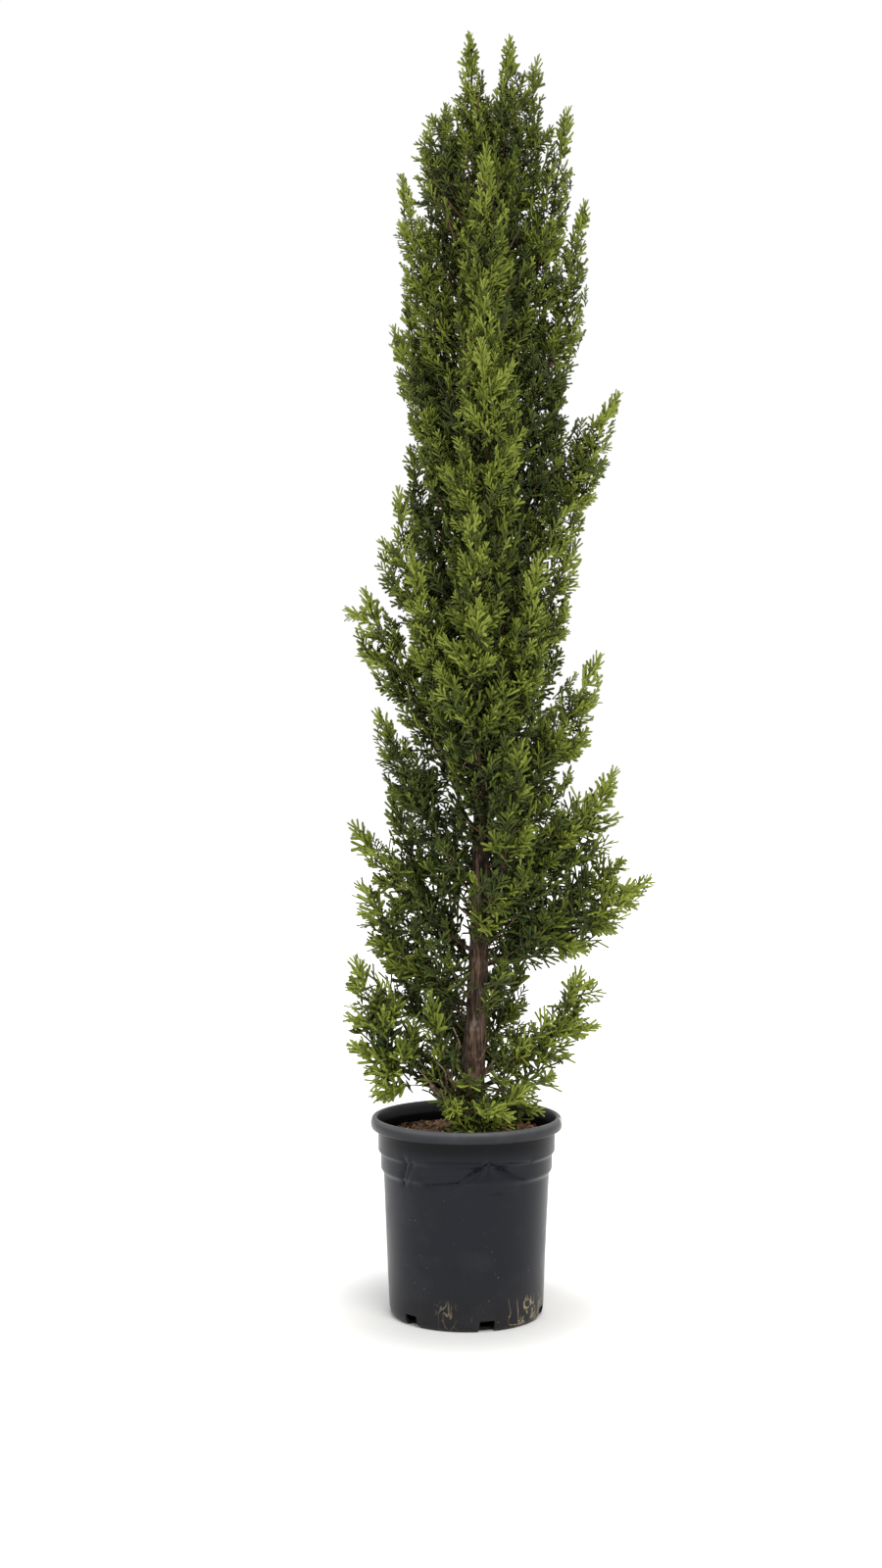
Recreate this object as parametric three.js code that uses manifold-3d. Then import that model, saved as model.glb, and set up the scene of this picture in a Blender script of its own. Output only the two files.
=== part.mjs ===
// Potted cypress: a nursery pot, its soil, a tapering trunk, the main boughs
// and the plumes of foliage that make up the narrow crown.
// Millimetres, +Z up. The origin is the centre of the pot's flat underside,
// +X is to the right and -Y is towards the front.
import * as THREE from "three";
import { mergeVertices } from "three/addons/utils/BufferGeometryUtils.js";
import Module from "manifold-3d";

const wasm = await Module();
wasm.setup();

// ---- Driving dimensions ----
const pot = {
  height: 287.5,
  rimRadius: 140,
  rimDrop: 18,
  mouthRadius: 130,
  collarRadius: 128.5,
  collarLow: 238,
  shoulderRadius: 124.5,
  shoulderLow: 213,
  wallTopRadius: 120.3,
  wallFootRadius: 112,
  footRadius: 103,
  heelInset: 2.6,
  heelHeight: 4,
  footCorner: 12,
  chamfer: 6,
  wall: 2.6,
  floor: 4,
  sides: 24,
};
const notch = { count: 6, width: 24, topWidth: 21, height: 14, turn: 14.5, inset: 5, reach: 24 };
const soil = { level: 260, clods: 2.2, flatRadius: 34, rings: 3 };
const gap = 0.35;

const trunk = {
  foot: soil.level + gap,
  top: 1836,
  sway: 18,
  swayHeight: 700,
  weave: 5,
  weaveHeight: 210,
  footAcross: 3,
  topAcross: 6,
  girthHeight: 400,
  thick: 30,
  tipThick: 2.4,
  taper: 1.7,
  flare: 9,
  flareHeight: 26,
  sides: 8,
  stations: 12,
};
const bough = { footShare: 0.5, least: 9, endShare: 0.62, sides: 5, stations: 3, reachIn: 16 };
const plume = {
  sides: 6,
  stations: 5,
  start: 0.065,
  belly: 0.46,
  footWidth: 0.26,
  unevenness: 0.12,
  upright: 0.4,
  shootFrom: 0.42,
  shootWidth: 0.7,
  shootStations: 3,
};

// Every mass of foliage is a plume, or a few joined, that springs from the
// trunk at the height root and turns up to its tips [across, back, up].
// bare is the share of its limb that shows as a bough before the foliage;
// upright is 1 for a plume that hugs the trunk and 0 for a straight limb.
const masses = [
  { name: "top_leader", root: 1490, wide: 66, deep: 66, tips: [[6, 0, 1853]] },
  { name: "top_right_inner", root: 1400, wide: 74, deep: 66, tips: [[61, -14, 1843]] },
  { name: "top_right_outer", root: 1360, wide: 76, deep: 74, tips: [[102, 24, 1827]] },
  { name: "top_right_edge", root: 1290, wide: 78, deep: 82, tips: [[145, -6, 1745]] },
  { name: "top_back_left", root: 1360, wide: 88, deep: 66, tips: [[-28, 50, 1768], [-66, 32, 1670]] },
  { name: "top_left", root: 1290, wide: 76, deep: 72, tips: [[-94, -24, 1644]] },
  { name: "top_front", root: 1270, wide: 84, deep: 62, tips: [[27, -94, 1668]] },
  { name: "top_back", root: 1310, wide: 92, deep: 66, tips: [[44, 96, 1712]] },
  { name: "upper_front", root: 1180, wide: 78, deep: 56, tips: [[23, -120, 1473]] },
  { name: "upper_right", root: 1150, wide: 76, deep: 86, tips: [[171, 10, 1616], [163, 34, 1505]] },
  { name: "upper_left_back", root: 1150, wide: 78, deep: 74, tips: [[-90, 56, 1491]] },
  { name: "upper_left", root: 1090, wide: 74, deep: 66, upright: 0.1, tips: [[-106, -16, 1431]] },
  { name: "upper_back_right", root: 1130, wide: 92, deep: 66, tips: [[84, 116, 1548]] },
  { name: "upper_back_left", root: 1080, wide: 92, deep: 66, tips: [[-46, 124, 1420]] },
  {
    name: "middle_front_crest", root: 930, wide: 118, deep: 72,
    tips: [[20, -124, 1392], [66, -112, 1362]],
  },
  { name: "middle_right_back", root: 1010, wide: 66, deep: 92, tips: [[136, 34, 1381]] },
  {
    name: "middle_right_spur", root: 930, wide: 76, deep: 84, bare: 0.14, upright: 0,
    tips: [[222, -6, 1336]],
  },
  { name: "middle_left_back", root: 940, wide: 78, deep: 72, tips: [[-82, 44, 1267]] },
  {
    name: "middle_left", root: 850, wide: 78, deep: 80,
    tips: [[-98, -12, 1201], [-127, -4, 1125]],
  },
  { name: "middle_front", root: 800, wide: 92, deep: 62, tips: [[6, -142, 1164]] },
  { name: "middle_front_left", root: 770, wide: 78, deep: 62, tips: [[-80, -112, 1100]] },
  {
    name: "middle_far_left", root: 720, wide: 66, deep: 76, bare: 0.2, upright: 0.15,
    tips: [[-148, -26, 1054], [-176, -20, 1024]],
  },
  { name: "middle_right", root: 800, wide: 92, deep: 92, upright: 0.05, tips: [[163, 14, 1128]] },
  { name: "middle_front_right", root: 700, wide: 86, deep: 64, tips: [[98, -116, 1096]] },
  { name: "middle_back", root: 900, wide: 104, deep: 68, tips: [[34, 138, 1330]] },
  { name: "middle_back_right", root: 780, wide: 92, deep: 68, tips: [[104, 120, 1176]] },
  { name: "middle_back_left", root: 736, wide: 104, deep: 70, tips: [[-40, 144, 1066]] },
  {
    name: "lower_right_edge", root: 650, wide: 84, deep: 100, bare: 0.12, upright: 0.2,
    tips: [[192, -10, 962]],
  },
  { name: "lower_front", root: 660, wide: 124, deep: 76, tips: [[13, -150, 1030], [-40, -128, 980]] },
  { name: "lower_left_edge", root: 610, wide: 92, deep: 92, upright: 0.2, tips: [[-130, -14, 881]] },
  {
    name: "lower_right_spur", root: 570, wide: 86, deep: 90, bare: 0.12, upright: 0.35,
    tips: [[215, -14, 796], [224, 14, 727]],
  },
  { name: "lower_front_right", root: 520, wide: 98, deep: 74, tips: [[74, -124, 838]] },
  { name: "lower_back", root: 500, wide: 100, deep: 70, tips: [[60, 146, 840]] },
  {
    name: "lower_far_right", root: 505, wide: 90, deep: 88, bare: 0.12, upright: 0.3,
    tips: [[267, -6, 634], [214, -30, 640]],
  },
  {
    name: "lower_left_spur", root: 520, wide: 66, deep: 62, bare: 0.16, upright: 0.3,
    tips: [[-165, -26, 719]],
  },
  { name: "lower_left_back", root: 500, wide: 84, deep: 70, bare: 0.14, tips: [[-112, 72, 752]] },
  {
    name: "lower_far_left", root: 440, wide: 84, deep: 80, bare: 0.16, upright: 0.45,
    tips: [[-158, -16, 632], [-96, -30, 640]],
  },
  {
    name: "skirt_left_back", root: 372, wide: 78, deep: 60, bare: 0.34, upright: 0.6,
    tips: [[-112, 62, 530]],
  },
  {
    name: "skirt_back", root: 300, wide: 92, deep: 62, bare: 0.3, upright: 0.6,
    tips: [[-24, 128, 474]],
  },
  { name: "skirt_back_right", root: 340, wide: 74, deep: 58, tips: [[84, 84, 520]] },
  {
    name: "skirt_left", root: 290, wide: 84, deep: 92, bare: 0.24, upright: 0.5,
    tips: [[-161, -54, 528], [-176, -44, 440], [-136, -70, 326]],
  },
  { name: "skirt_left_inner", root: 300, wide: 62, deep: 54, upright: 0.6, tips: [[-55, -70, 479]] },
  {
    name: "skirt_right", root: 310, wide: 62, deep: 60, bare: 0.24, upright: 0.3,
    tips: [[165, -34, 510], [190, -30, 423], [160, -46, 376]],
  },
  {
    name: "skirt_front", root: 288, wide: 54, deep: 34, bare: 0.24, upright: 0.1,
    tips: [[-22, -116, 312], [66, -122, 308], [98, -78, 346]],
  },
];

const colours = {
  pot: 0x2f3034, soil: 0x4a382a, bark: 0x5a4636,
  foliage: [0x4c5a26, 0x5a6a2c, 0x44532a, 0x66752f],
};

// ---- Shapes ----

/** The trunk's centre at a height: it sways to the right, then stands back up. */
function trunkAt(height) {
  const { foot, top, sway, swayHeight, weave, weaveHeight, footAcross, topAcross } = trunk;
  const above = THREE.MathUtils.clamp((height - swayHeight) / (top - swayHeight), 0, 1);
  const below = THREE.MathUtils.clamp((swayHeight - height) / (swayHeight - foot), 0, 1);
  const far = footAcross + sway;
  const across = far + (topAcross - far) * (1 - Math.cos((above * Math.PI) / 2));
  const back = weave * Math.sin(height / weaveHeight);
  return new THREE.Vector3(across - sway * below ** 2, back, height);
}

/** The trunk's radius at a height, with the root flare near the soil. */
function trunkRadius(height) {
  const { foot, top, girthHeight, thick, tipThick, taper, flare, flareHeight } = trunk;
  const along = Math.min((height - girthHeight) / (top - girthHeight), 1);
  const root = flare * Math.exp(-(height - foot) / flareHeight);
  return (tipThick + thick * (1 - along) ** taper + root) / 2;
}

/** A small repeatable unevenness around and along a limb or plume, from -1 to 1. */
function ripple(turn, along, seed) {
  const first = Math.sin(3 * turn + 5.1 * along + seed * 2.399);
  const second = Math.sin(2 * turn - 8.7 * along + seed * 4.713);
  const third = Math.sin(5 * turn + 13.3 * along - seed * 1.618);
  return 0.45 * first + 0.35 * second + 0.2 * third;
}

/** A closed solid through rings of points that all have the same count. */
function loft(rings) {
  const count = rings[0].length;
  const points = rings.flat();
  const triangles = [];
  for (let ring = 0; ring < rings.length - 1; ring += 1) {
    for (let k = 0; k < count; k += 1) {
      const a = ring * count + k;
      const b = ring * count + ((k + 1) % count);
      triangles.push(a, b, b + count, a, b + count, a + count);
    }
  }
  const last = (rings.length - 1) * count;
  for (const [start, flip] of [[0, true], [last, false]]) {
    const middle = new THREE.Vector3();
    for (let k = 0; k < count; k += 1) middle.addScaledVector(points[start + k], 1 / count);
    points.push(middle);
    const centre = points.length - 1;
    for (let k = 0; k < count; k += 1) {
      const next = start + ((k + 1) % count);
      triangles.push(centre, ...(flip ? [next, start + k] : [start + k, next]));
    }
  }
  const geometry = new THREE.BufferGeometry().setFromPoints(points);
  geometry.setIndex(triangles);
  return geometry;
}

/** A ring of points round a centre, on two half-axes. */
function ring(centre, right, up, count, shape = () => 1) {
  return Array.from({ length: count }, (_, k) => {
    const turn = (k / count) * 2 * Math.PI;
    return centre.clone()
      .addScaledVector(right, Math.cos(turn) * shape(turn))
      .addScaledVector(up, Math.sin(turn) * shape(turn));
  });
}

/** A geometry as a solid that can be joined and cut. */
function solid(geometry) {
  const bare = geometry.clone();
  bare.deleteAttribute("normal");
  bare.deleteAttribute("uv");
  const merged = mergeVertices(bare, 1e-4);
  return new wasm.Manifold(new wasm.Mesh({
    numProp: 3,
    vertProperties: new Float32Array(merged.attributes.position.array),
    triVerts: new Uint32Array(merged.index.array),
  }));
}

/** The largest body of a solid as a geometry. */
function geometryOf(body) {
  const largest = body.decompose().reduce((a, b) => (b.volume() > a.volume() ? b : a));
  const mesh = largest.getMesh();
  const geometry = new THREE.BufferGeometry();
  geometry.setAttribute("position", new THREE.BufferAttribute(mesh.vertProperties, 3));
  geometry.setIndex(new THREE.BufferAttribute(mesh.triVerts, 1));
  geometry.computeVertexNormals();
  return geometry;
}

// ---- Limbs ----

/** The curve of a limb from the trunk to its first tip, or of a shoot from it to another tip. */
function limbCurve(mass, tip) {
  const isShoot = tip !== mass.tips[0];
  const start = isShoot
    ? limbCurve(mass, mass.tips[0]).getPoint(Math.max(plume.shootFrom, (mass.bare ?? 0) + 0.1))
    : trunkAt(mass.root);
  const end = new THREE.Vector3(...tip);
  const upright = mass.upright ?? plume.upright;
  const at = (out, rise) => new THREE.Vector3(
    THREE.MathUtils.lerp(start.x, end.x, out),
    THREE.MathUtils.lerp(start.y, end.y, out),
    THREE.MathUtils.lerp(start.z, end.z, rise),
  );
  const first = at(0.35 + 0.4 * upright, 0.35 - 0.17 * upright);
  const second = at(0.68 + 0.32 * upright, 0.68 - 0.08 * upright);
  return new THREE.CubicBezierCurve3(start, first, second, end);
}

/** The two directions across a limb: level, and square to that and the limb. */
function limbFrame(curve, along) {
  const chord = curve.v3.clone().sub(curve.v0);
  const reach = Math.hypot(chord.x, chord.y);
  const level = reach > 1
    ? new THREE.Vector3(-chord.y / reach, chord.x / reach, 0)
    : new THREE.Vector3(0, 1, 0);
  const ahead = curve.getTangent(along);
  return [level, ahead.cross(level).normalize()];
}

/** One plume: narrow at its foot, fullest below the middle, drawn to a point. */
function plumeSolid(mass, tip, seed, grow) {
  const curve = limbCurve(mass, tip);
  const isShoot = tip !== mass.tips[0];
  const share = isShoot ? plume.shootWidth : 1;
  const start = isShoot ? 0 : mass.bare ?? plume.start;
  const stations = isShoot ? plume.shootStations : plume.stations;
  const rings = [];
  for (let k = 0; k <= stations; k += 1) {
    const along = k / stations;
    const fullness = along < plume.belly
      ? plume.footWidth + (1 - plume.footWidth) * Math.sin((along / plume.belly) * (Math.PI / 2))
      : 1 - 0.95 * ((along - plume.belly) / (1 - plume.belly)) ** 1.8;
    const stretch = grow / curve.getLength();
    const at = THREE.MathUtils.lerp(start - stretch, 1 + stretch, along);
    const [level, square] = limbFrame(curve, THREE.MathUtils.clamp(at, 0, 1));
    const centre = curve.getPoint(THREE.MathUtils.clamp(at, 0, 1));
    const shape = (turn) => 1 + plume.unevenness * ripple(turn, along, seed);
    const half = (size) => (size * share * fullness) / 2 + grow;
    rings.push(ring(centre, level.clone().multiplyScalar(half(mass.wide)),
      square.clone().multiplyScalar(half(mass.deep)), plume.sides, shape));
  }
  return solid(loft(rings));
}

/** A mass of foliage: its plumes joined into one body. */
function massSolid(mass, seed, grow = 0) {
  return mass.tips
    .map((tip, k) => plumeSolid(mass, tip, seed + 7 * k, grow))
    .reduce((whole, piece) => whole.add(piece));
}

/** The bare foot of a mass's limb, from the trunk until it enters the foliage. */
function boughSolid(mass, grow = 0) {
  const curve = limbCurve(mass, mass.tips[0]);
  const length = curve.getLength();
  const end = mass.bare + bough.reachIn / length;
  const thick = Math.max(bough.least, trunkRadius(mass.root) * 2 * bough.footShare);
  const rings = [];
  for (let k = 0; k <= bough.stations; k += 1) {
    const along = k / bough.stations;
    const [level, square] = limbFrame(curve, end * along);
    const radius = (thick / 2) * (1 - (1 - bough.endShare) * along) + grow;
    rings.push(ring(curve.getPoint(end * along), level.multiplyScalar(radius),
      square.multiplyScalar(radius), bough.sides));
  }
  return solid(loft(rings));
}

/** The trunk, grown outwards by a clearance when it is used to cut. */
function trunkSolid(grow = 0) {
  const rings = [];
  for (let k = 0; k <= trunk.stations; k += 1) {
    const along = (k / trunk.stations) ** 1.25;
    const height = THREE.MathUtils.lerp(trunk.foot, trunk.top, along);
    const radius = trunkRadius(height);
    const shape = (turn) => radius * (1 + 0.05 * ripple(turn, along * 3, 2)) + grow;
    const centre = trunkAt(height);
    if (k === trunk.stations) centre.z += grow;
    rings.push(ring(centre, new THREE.Vector3(1, 0, 0), new THREE.Vector3(0, 1, 0),
      trunk.sides, shape));
  }
  return solid(loft(rings));
}

// ---- Pot and soil ----

/** A turned shape whose profile of [radius, height] points is closed on the axis. */
function turned(profile) {
  const geometry = new THREE.LatheGeometry(profile.map(([r, z]) => new THREE.Vector2(r, z)), pot.sides);
  geometry.rotateX(Math.PI / 2);
  return geometry;
}

/** The pot: floor, tapering wall, stepped shoulder and collar, rolled rim, drain notches. */
function potGeometry() {
  const p = pot;
  const rimLow = p.height - p.rimDrop;
  const wallTop = p.shoulderLow - p.chamfer;
  const profile = [
    [0, 0], [p.footRadius, 0],
    [p.wallFootRadius - p.heelInset, p.heelHeight], [p.wallFootRadius, p.footCorner],
    [p.wallTopRadius, wallTop], [p.shoulderRadius, p.shoulderLow],
    [p.shoulderRadius, p.collarLow - 4], [p.collarRadius, p.collarLow],
    [p.collarRadius, rimLow], [p.rimRadius - 3, rimLow + 1],
    [p.rimRadius, rimLow + 11], [p.rimRadius - 5, p.height],
    [p.mouthRadius, p.height], [p.collarRadius - p.wall, rimLow],
    [p.collarRadius - p.wall, p.collarLow + 1], [p.wallTopRadius - p.wall, wallTop],
    [p.wallFootRadius - p.wall, p.footCorner], [p.footRadius - 1, p.floor], [0, p.floor],
  ];
  let body = solid(turned(profile));
  const outline = new THREE.Shape([
    new THREE.Vector2(-notch.width / 2, -1), new THREE.Vector2(notch.width / 2, -1),
    new THREE.Vector2(notch.topWidth / 2, notch.height),
    new THREE.Vector2(-notch.topWidth / 2, notch.height),
  ]);
  for (let k = 0; k < notch.count; k += 1) {
    const tool = new THREE.ExtrudeGeometry(outline, { depth: notch.reach, bevelEnabled: false });
    tool.rotateX(Math.PI / 2);
    tool.translate(0, notch.inset - p.footRadius, 0);
    tool.rotateZ(THREE.MathUtils.degToRad(notch.turn + (k * 360) / notch.count));
    body = body.subtract(solid(tool));
  }
  return geometryOf(body);
}

/** The soil that fills the pot, with a cloddy top that is level round the trunk. */
function soilGeometry() {
  const p = pot;
  const low = p.floor + gap;
  const edge = p.collarRadius - p.wall - gap;
  const profile = [
    [0, low], [p.footRadius - 2, low],
    [p.wallFootRadius - p.wall - gap, p.footCorner + 0.5],
    [p.wallTopRadius - p.wall - gap, p.shoulderLow - p.chamfer],
    [edge, p.collarLow + 1.4], [edge, soil.level - 1],
  ];
  for (let k = soil.rings - 1; k > 0; k -= 1) {
    const radius = soil.flatRadius + ((edge - soil.flatRadius) * k) / soil.rings;
    profile.push([radius, soil.level]);
  }
  profile.push([soil.flatRadius, soil.level], [0, soil.level]);
  const geometry = turned(profile);
  const at = geometry.attributes.position;
  for (let k = 0; k < at.count; k += 1) {
    const radius = Math.hypot(at.getX(k), at.getY(k));
    const onTop = at.getZ(k) > soil.level - 0.5 && radius > soil.flatRadius + 1;
    const turn = Math.round((Math.atan2(at.getY(k), at.getX(k)) * pot.sides) / (2 * Math.PI));
    const spin = ((turn + pot.sides) % pot.sides) * ((2 * Math.PI) / pot.sides);
    if (onTop) at.setZ(k, soil.level + soil.clods * ripple(spin * 3, radius / 23, 4));
  }
  return geometryOf(solid(geometry));
}

// ---- Assembly ----
const tree = new THREE.Group();

/** Adds one named piece in a colour. */
function place(name, geometry, color, roughness) {
  const material = new THREE.MeshStandardMaterial({ color, roughness, metalness: 0, flatShading: true });
  const mesh = new THREE.Mesh(geometry, material);
  mesh.name = name;
  tree.add(mesh);
}

place("pot", potGeometry(), colours.pot, 0.55);
place("soil", soilGeometry(), colours.soil, 1);
place("trunk", geometryOf(trunkSolid()), colours.bark, 0.9);

const trunkRoom = trunkSolid(gap);
const grown = masses.map((mass, k) => massSolid(mass, k + 1, gap));
masses.forEach((mass, k) => {
  let body = massSolid(mass, k + 1).subtract(trunkRoom);
  for (let other = 0; other < k; other += 1) body = body.subtract(grown[other]);
  place(`plume_${mass.name}`, geometryOf(body), colours.foliage[k % colours.foliage.length], 0.75);
});

masses.filter((mass) => mass.bare).forEach((mass, k, all) => {
  let body = boughSolid(mass).subtract(trunkRoom);
  grown.forEach((other) => { body = body.subtract(other); });
  all.slice(0, k).forEach((other) => { body = body.subtract(boughSolid(other, gap)); });
  place(`bough_${mass.name}`, geometryOf(body), colours.bark, 0.9);
});

export default tree;
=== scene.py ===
from functools import partial
from math import atan2, ceil, cos, dist, exp, hypot, pi, radians, sin, sqrt, tan

import bmesh
import bpy
import numpy as np
from mathutils import Matrix, Vector, noise
from mathutils.bvhtree import BVHTree
from numpy.linalg import norm


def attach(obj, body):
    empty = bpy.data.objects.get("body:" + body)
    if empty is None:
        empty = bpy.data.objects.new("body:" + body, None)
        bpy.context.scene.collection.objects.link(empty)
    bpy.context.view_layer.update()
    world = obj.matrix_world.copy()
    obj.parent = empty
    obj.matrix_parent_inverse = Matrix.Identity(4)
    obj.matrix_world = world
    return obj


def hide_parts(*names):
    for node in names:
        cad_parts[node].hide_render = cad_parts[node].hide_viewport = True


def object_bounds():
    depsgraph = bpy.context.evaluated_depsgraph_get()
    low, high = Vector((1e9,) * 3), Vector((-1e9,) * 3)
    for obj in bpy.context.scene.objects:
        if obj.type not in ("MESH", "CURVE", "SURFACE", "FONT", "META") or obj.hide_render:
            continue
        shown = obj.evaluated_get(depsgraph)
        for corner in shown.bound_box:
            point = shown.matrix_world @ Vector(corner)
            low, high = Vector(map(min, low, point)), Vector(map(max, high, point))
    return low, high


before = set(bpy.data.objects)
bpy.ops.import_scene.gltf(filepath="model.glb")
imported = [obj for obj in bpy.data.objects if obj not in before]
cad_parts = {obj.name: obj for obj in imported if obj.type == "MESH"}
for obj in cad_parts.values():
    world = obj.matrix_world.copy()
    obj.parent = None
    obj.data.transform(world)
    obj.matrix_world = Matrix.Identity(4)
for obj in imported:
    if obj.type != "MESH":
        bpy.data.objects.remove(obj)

cad_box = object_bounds()

# --- Studio ---------------------------
# A pale seamless floor under soft daylight from a wide sky, seen from about
# three metres away at chest height. The floor has a painted glow to white past the
# pot; it has none at the pot's foot, which leaves a painted shade round the pot.

WHITE = (1.0, 1.0, 1.0, 1.0)
EYE = (-0.037, -2.985, 0.841)
LOOK_DOWN = radians(1.3636)
FLOOR_REACH = 14.0
GLOW_NEAR, GLOW_FAR, FLOOR_GLOW = 0.128, 0.33, 0.50
SKY_LIGHT = 0.64


def new_object(name, data):
    """A new object at the origin, in the scene."""
    item = bpy.data.objects.new(name, data)
    bpy.context.scene.collection.objects.link(item)
    return item


def mesh_object(name, points, faces, materials=(), smooth=False, edges=()):
    """A new mesh object at the origin, with its place in its mesh."""
    mesh = bpy.data.meshes.new(name)
    mesh.from_pydata([tuple(p) for p in points], list(edges), [tuple(f) for f in faces])
    for material in materials:
        mesh.materials.append(material)
    if smooth:
        mesh.shade_smooth()
    return new_object(name, mesh)


def principled(name, color, roughness, specular):
    """A material and its Principled shader, with the values that are even all over."""
    material = bpy.data.materials.new(name)
    material.use_nodes = True
    shader = material.node_tree.nodes["Principled BSDF"]
    shader.inputs["Base Color"].default_value = (*color, 1.0)
    shader.inputs["Roughness"].default_value = roughness
    shader.inputs["Specular IOR Level"].default_value = specular
    return material, shader


def wire(source, node, label):
    """A link from a socket, or from a node's first output, to a node's input."""
    socket = source.outputs[0] if isinstance(source, bpy.types.Node) else source
    node.id_data.links.new(socket, node.inputs[label])


LINKED = (bpy.types.Node, bpy.types.NodeSocket)


def add_node(tree, kind, inputs=None, **settings):
    """A node with its settings, its plain inputs set and its other inputs linked."""
    node = tree.nodes.new(kind)
    for key, value in settings.items():
        setattr(node, key, value)
    for key, value in (inputs or {}).items():
        if isinstance(value, LINKED):
            wire(value, node, key)
        else:
            node.inputs[key].default_value = value
    return node


def own_place(material):
    """The place on a piece, in metres."""
    return add_node(material.node_tree, "ShaderNodeTexCoord").outputs["Object"]


lens = bpy.data.cameras.new("camera")
lens.sensor_width = 36.0
lens.lens = 47.25
lens.clip_end = 60.0
camera = new_object("camera", lens)
camera.location = EYE
camera.rotation_euler = (radians(90.0) - LOOK_DOWN, 0.0, 0.0)
bpy.context.scene.camera = camera
bpy.context.scene.view_settings.view_transform = "Standard"

floor_paint, floor_shader = principled("floor_paint", (0.77, 0.77, 0.77), 0.9, 0.1)
floor_shader.inputs["Emission Color"].default_value = WHITE
tree = floor_paint.node_tree
# painted light: the floor glows more the farther it is from the pot, and the lack of glow near the
# pot paints a shade round its foot
from_pot = add_node(tree, "ShaderNodeVectorMath", {0: own_place(floor_paint)}, operation="LENGTH")
glow = add_node(tree, "ShaderNodeMapRange", {
    "Value": from_pot.outputs["Value"], "From Min": GLOW_NEAR, "From Max": GLOW_FAR,
    "To Min": 0.0, "To Max": FLOOR_GLOW}, interpolation_type="SMOOTHSTEP")
wire(glow, floor_shader, "Emission Strength")
corners = [(x * FLOOR_REACH, y * FLOOR_REACH, 0) for x, y in ((-1, -1), (1, -1), (1, 1), (-1, 1))]
floor = mesh_object("floor", corners, [(0, 1, 2, 3)], [floor_paint])

# the sky lights softly, and is plain white where the camera sees it
sky = bpy.data.worlds.new("studio_sky")
sky.use_nodes = True
tree = sky.node_tree
lit = tree.nodes["Background"]
lit.inputs["Color"].default_value = WHITE
lit.inputs["Strength"].default_value = SKY_LIGHT
backdrop = add_node(tree, "ShaderNodeBackground", {"Color": WHITE, "Strength": 1.0})
seen_by = add_node(tree, "ShaderNodeLightPath")
blend = add_node(tree, "ShaderNodeMixShader", {
    "Fac": seen_by.outputs["Is Camera Ray"], 1: lit, 2: backdrop})
wire(blend, tree.nodes["World Output"], "Surface")
bpy.context.scene.world = sky


def daylight(name, azimuth, height, strength, spread, color):
    """A wide, soft light from far away: its bearing from the front, and its height."""
    light = bpy.data.lights.new(name, "SUN")
    light.energy = strength
    light.angle = radians(spread)
    light.color = color
    bearing, lift = radians(azimuth), radians(height)
    towards = Vector((sin(bearing) * cos(lift), -cos(bearing) * cos(lift), sin(lift)))
    new_object(name, light).rotation_euler = towards.to_track_quat("Z", "Y").to_euler()


daylight("key_light", 18.0, 56.0, 1.9, 32.0, (1.0, 0.985, 0.94))
daylight("fill_light", -58.0, 34.0, 0.5, 60.0, (0.95, 0.98, 1.0))
daylight("back_light", 170.0, 48.0, 0.6, 50.0, (1.0, 0.98, 0.94))

# --- Pot ------------------------------
# A blow-moulded nursery pot of thin black plastic: tapering wall, stepped
# shoulder and collar, rolled rim, drain notches in the foot, one old dent.

MM = 0.001
POT_TURNS = 360
# radius, height, corner rounding and the step of the run that follows, in millimetres,
# up the outside and down the inside
POT_PROFILE = [
    (0, 0, 0, 20), (104.5, 0, 1.5, 4), (110.4, 4, 3, 4), (112.2, 13, 3, 12), (119.6, 190, 1, 2.4),
    (120.3, 206, 2.5, 2.4), (124.5, 212.5, 2.5, 2.4), (124.7, 234.5, 2.0, 2.4),
    (128.5, 238.5, 2.0, 2.4), (128.7, 270, 1.5, 4), (138.0, 270.6, 2.2, 4), (140.1, 279, 5.5, 4),
    (136.5, 287.6, 3.0, 4), (130.6, 287.5, 2.4, 8), (126.2, 271, 3.0, 8), (126, 239, 1.5, 4),
    (118, 207.5, 1.5, 20), (109.4, 12, 4, 8), (102, 4, 2, 20), (0, 4, 0, 20),
]
# each crease of the dent: from and to (across and up the wall), its depth and its width
DENT_CREASES = [
    ((30, 242), (-13, 214), 5.4, 3.2), ((-13, 214), (-62, 208), 4.0, 3.2),
    ((30, 242), (-56, 243), 3.0, 2.8), ((32, 241), (84, 216), 5.0, 3.2),
    ((30, 243), (98, 238), 2.8, 2.8), ((30, 242), (31, 230), 4.6, 5.5),
    ((-96, 240), (-104, 206), 3.8, 3.2), ((-82, 238), (-95, 212), 2.4, 4.0),
    ((52, 199), (-10, 203), 1.4, 3.5), ((-67, 222), (-88, 208), 2.0, 4.0),
]
DENT_LOW, DENT_TOP, DENT_TURN, DENT_RADIUS = 180, 262, 1.25, 124
WALL_WAVE, WAVE_FULL, FLAT_BASE = 0.9, 120, 60
SHARP_ANGLE = radians(38)  # edges sharper than this are shaded hard
CHIP_PLACE = (0.1375, -0.022, 0.2795)
NOTCHES, NOTCH_TURN, NOTCH_DEPTHS = 6, radians(14.5), (-96.0, -130.0)
NOTCH_OUTLINE = [(-12, -1), (12, -1), (10.8, 15.6), (9.6, 16.6), (-9.6, 16.6), (-10.8, 15.6)]


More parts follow.
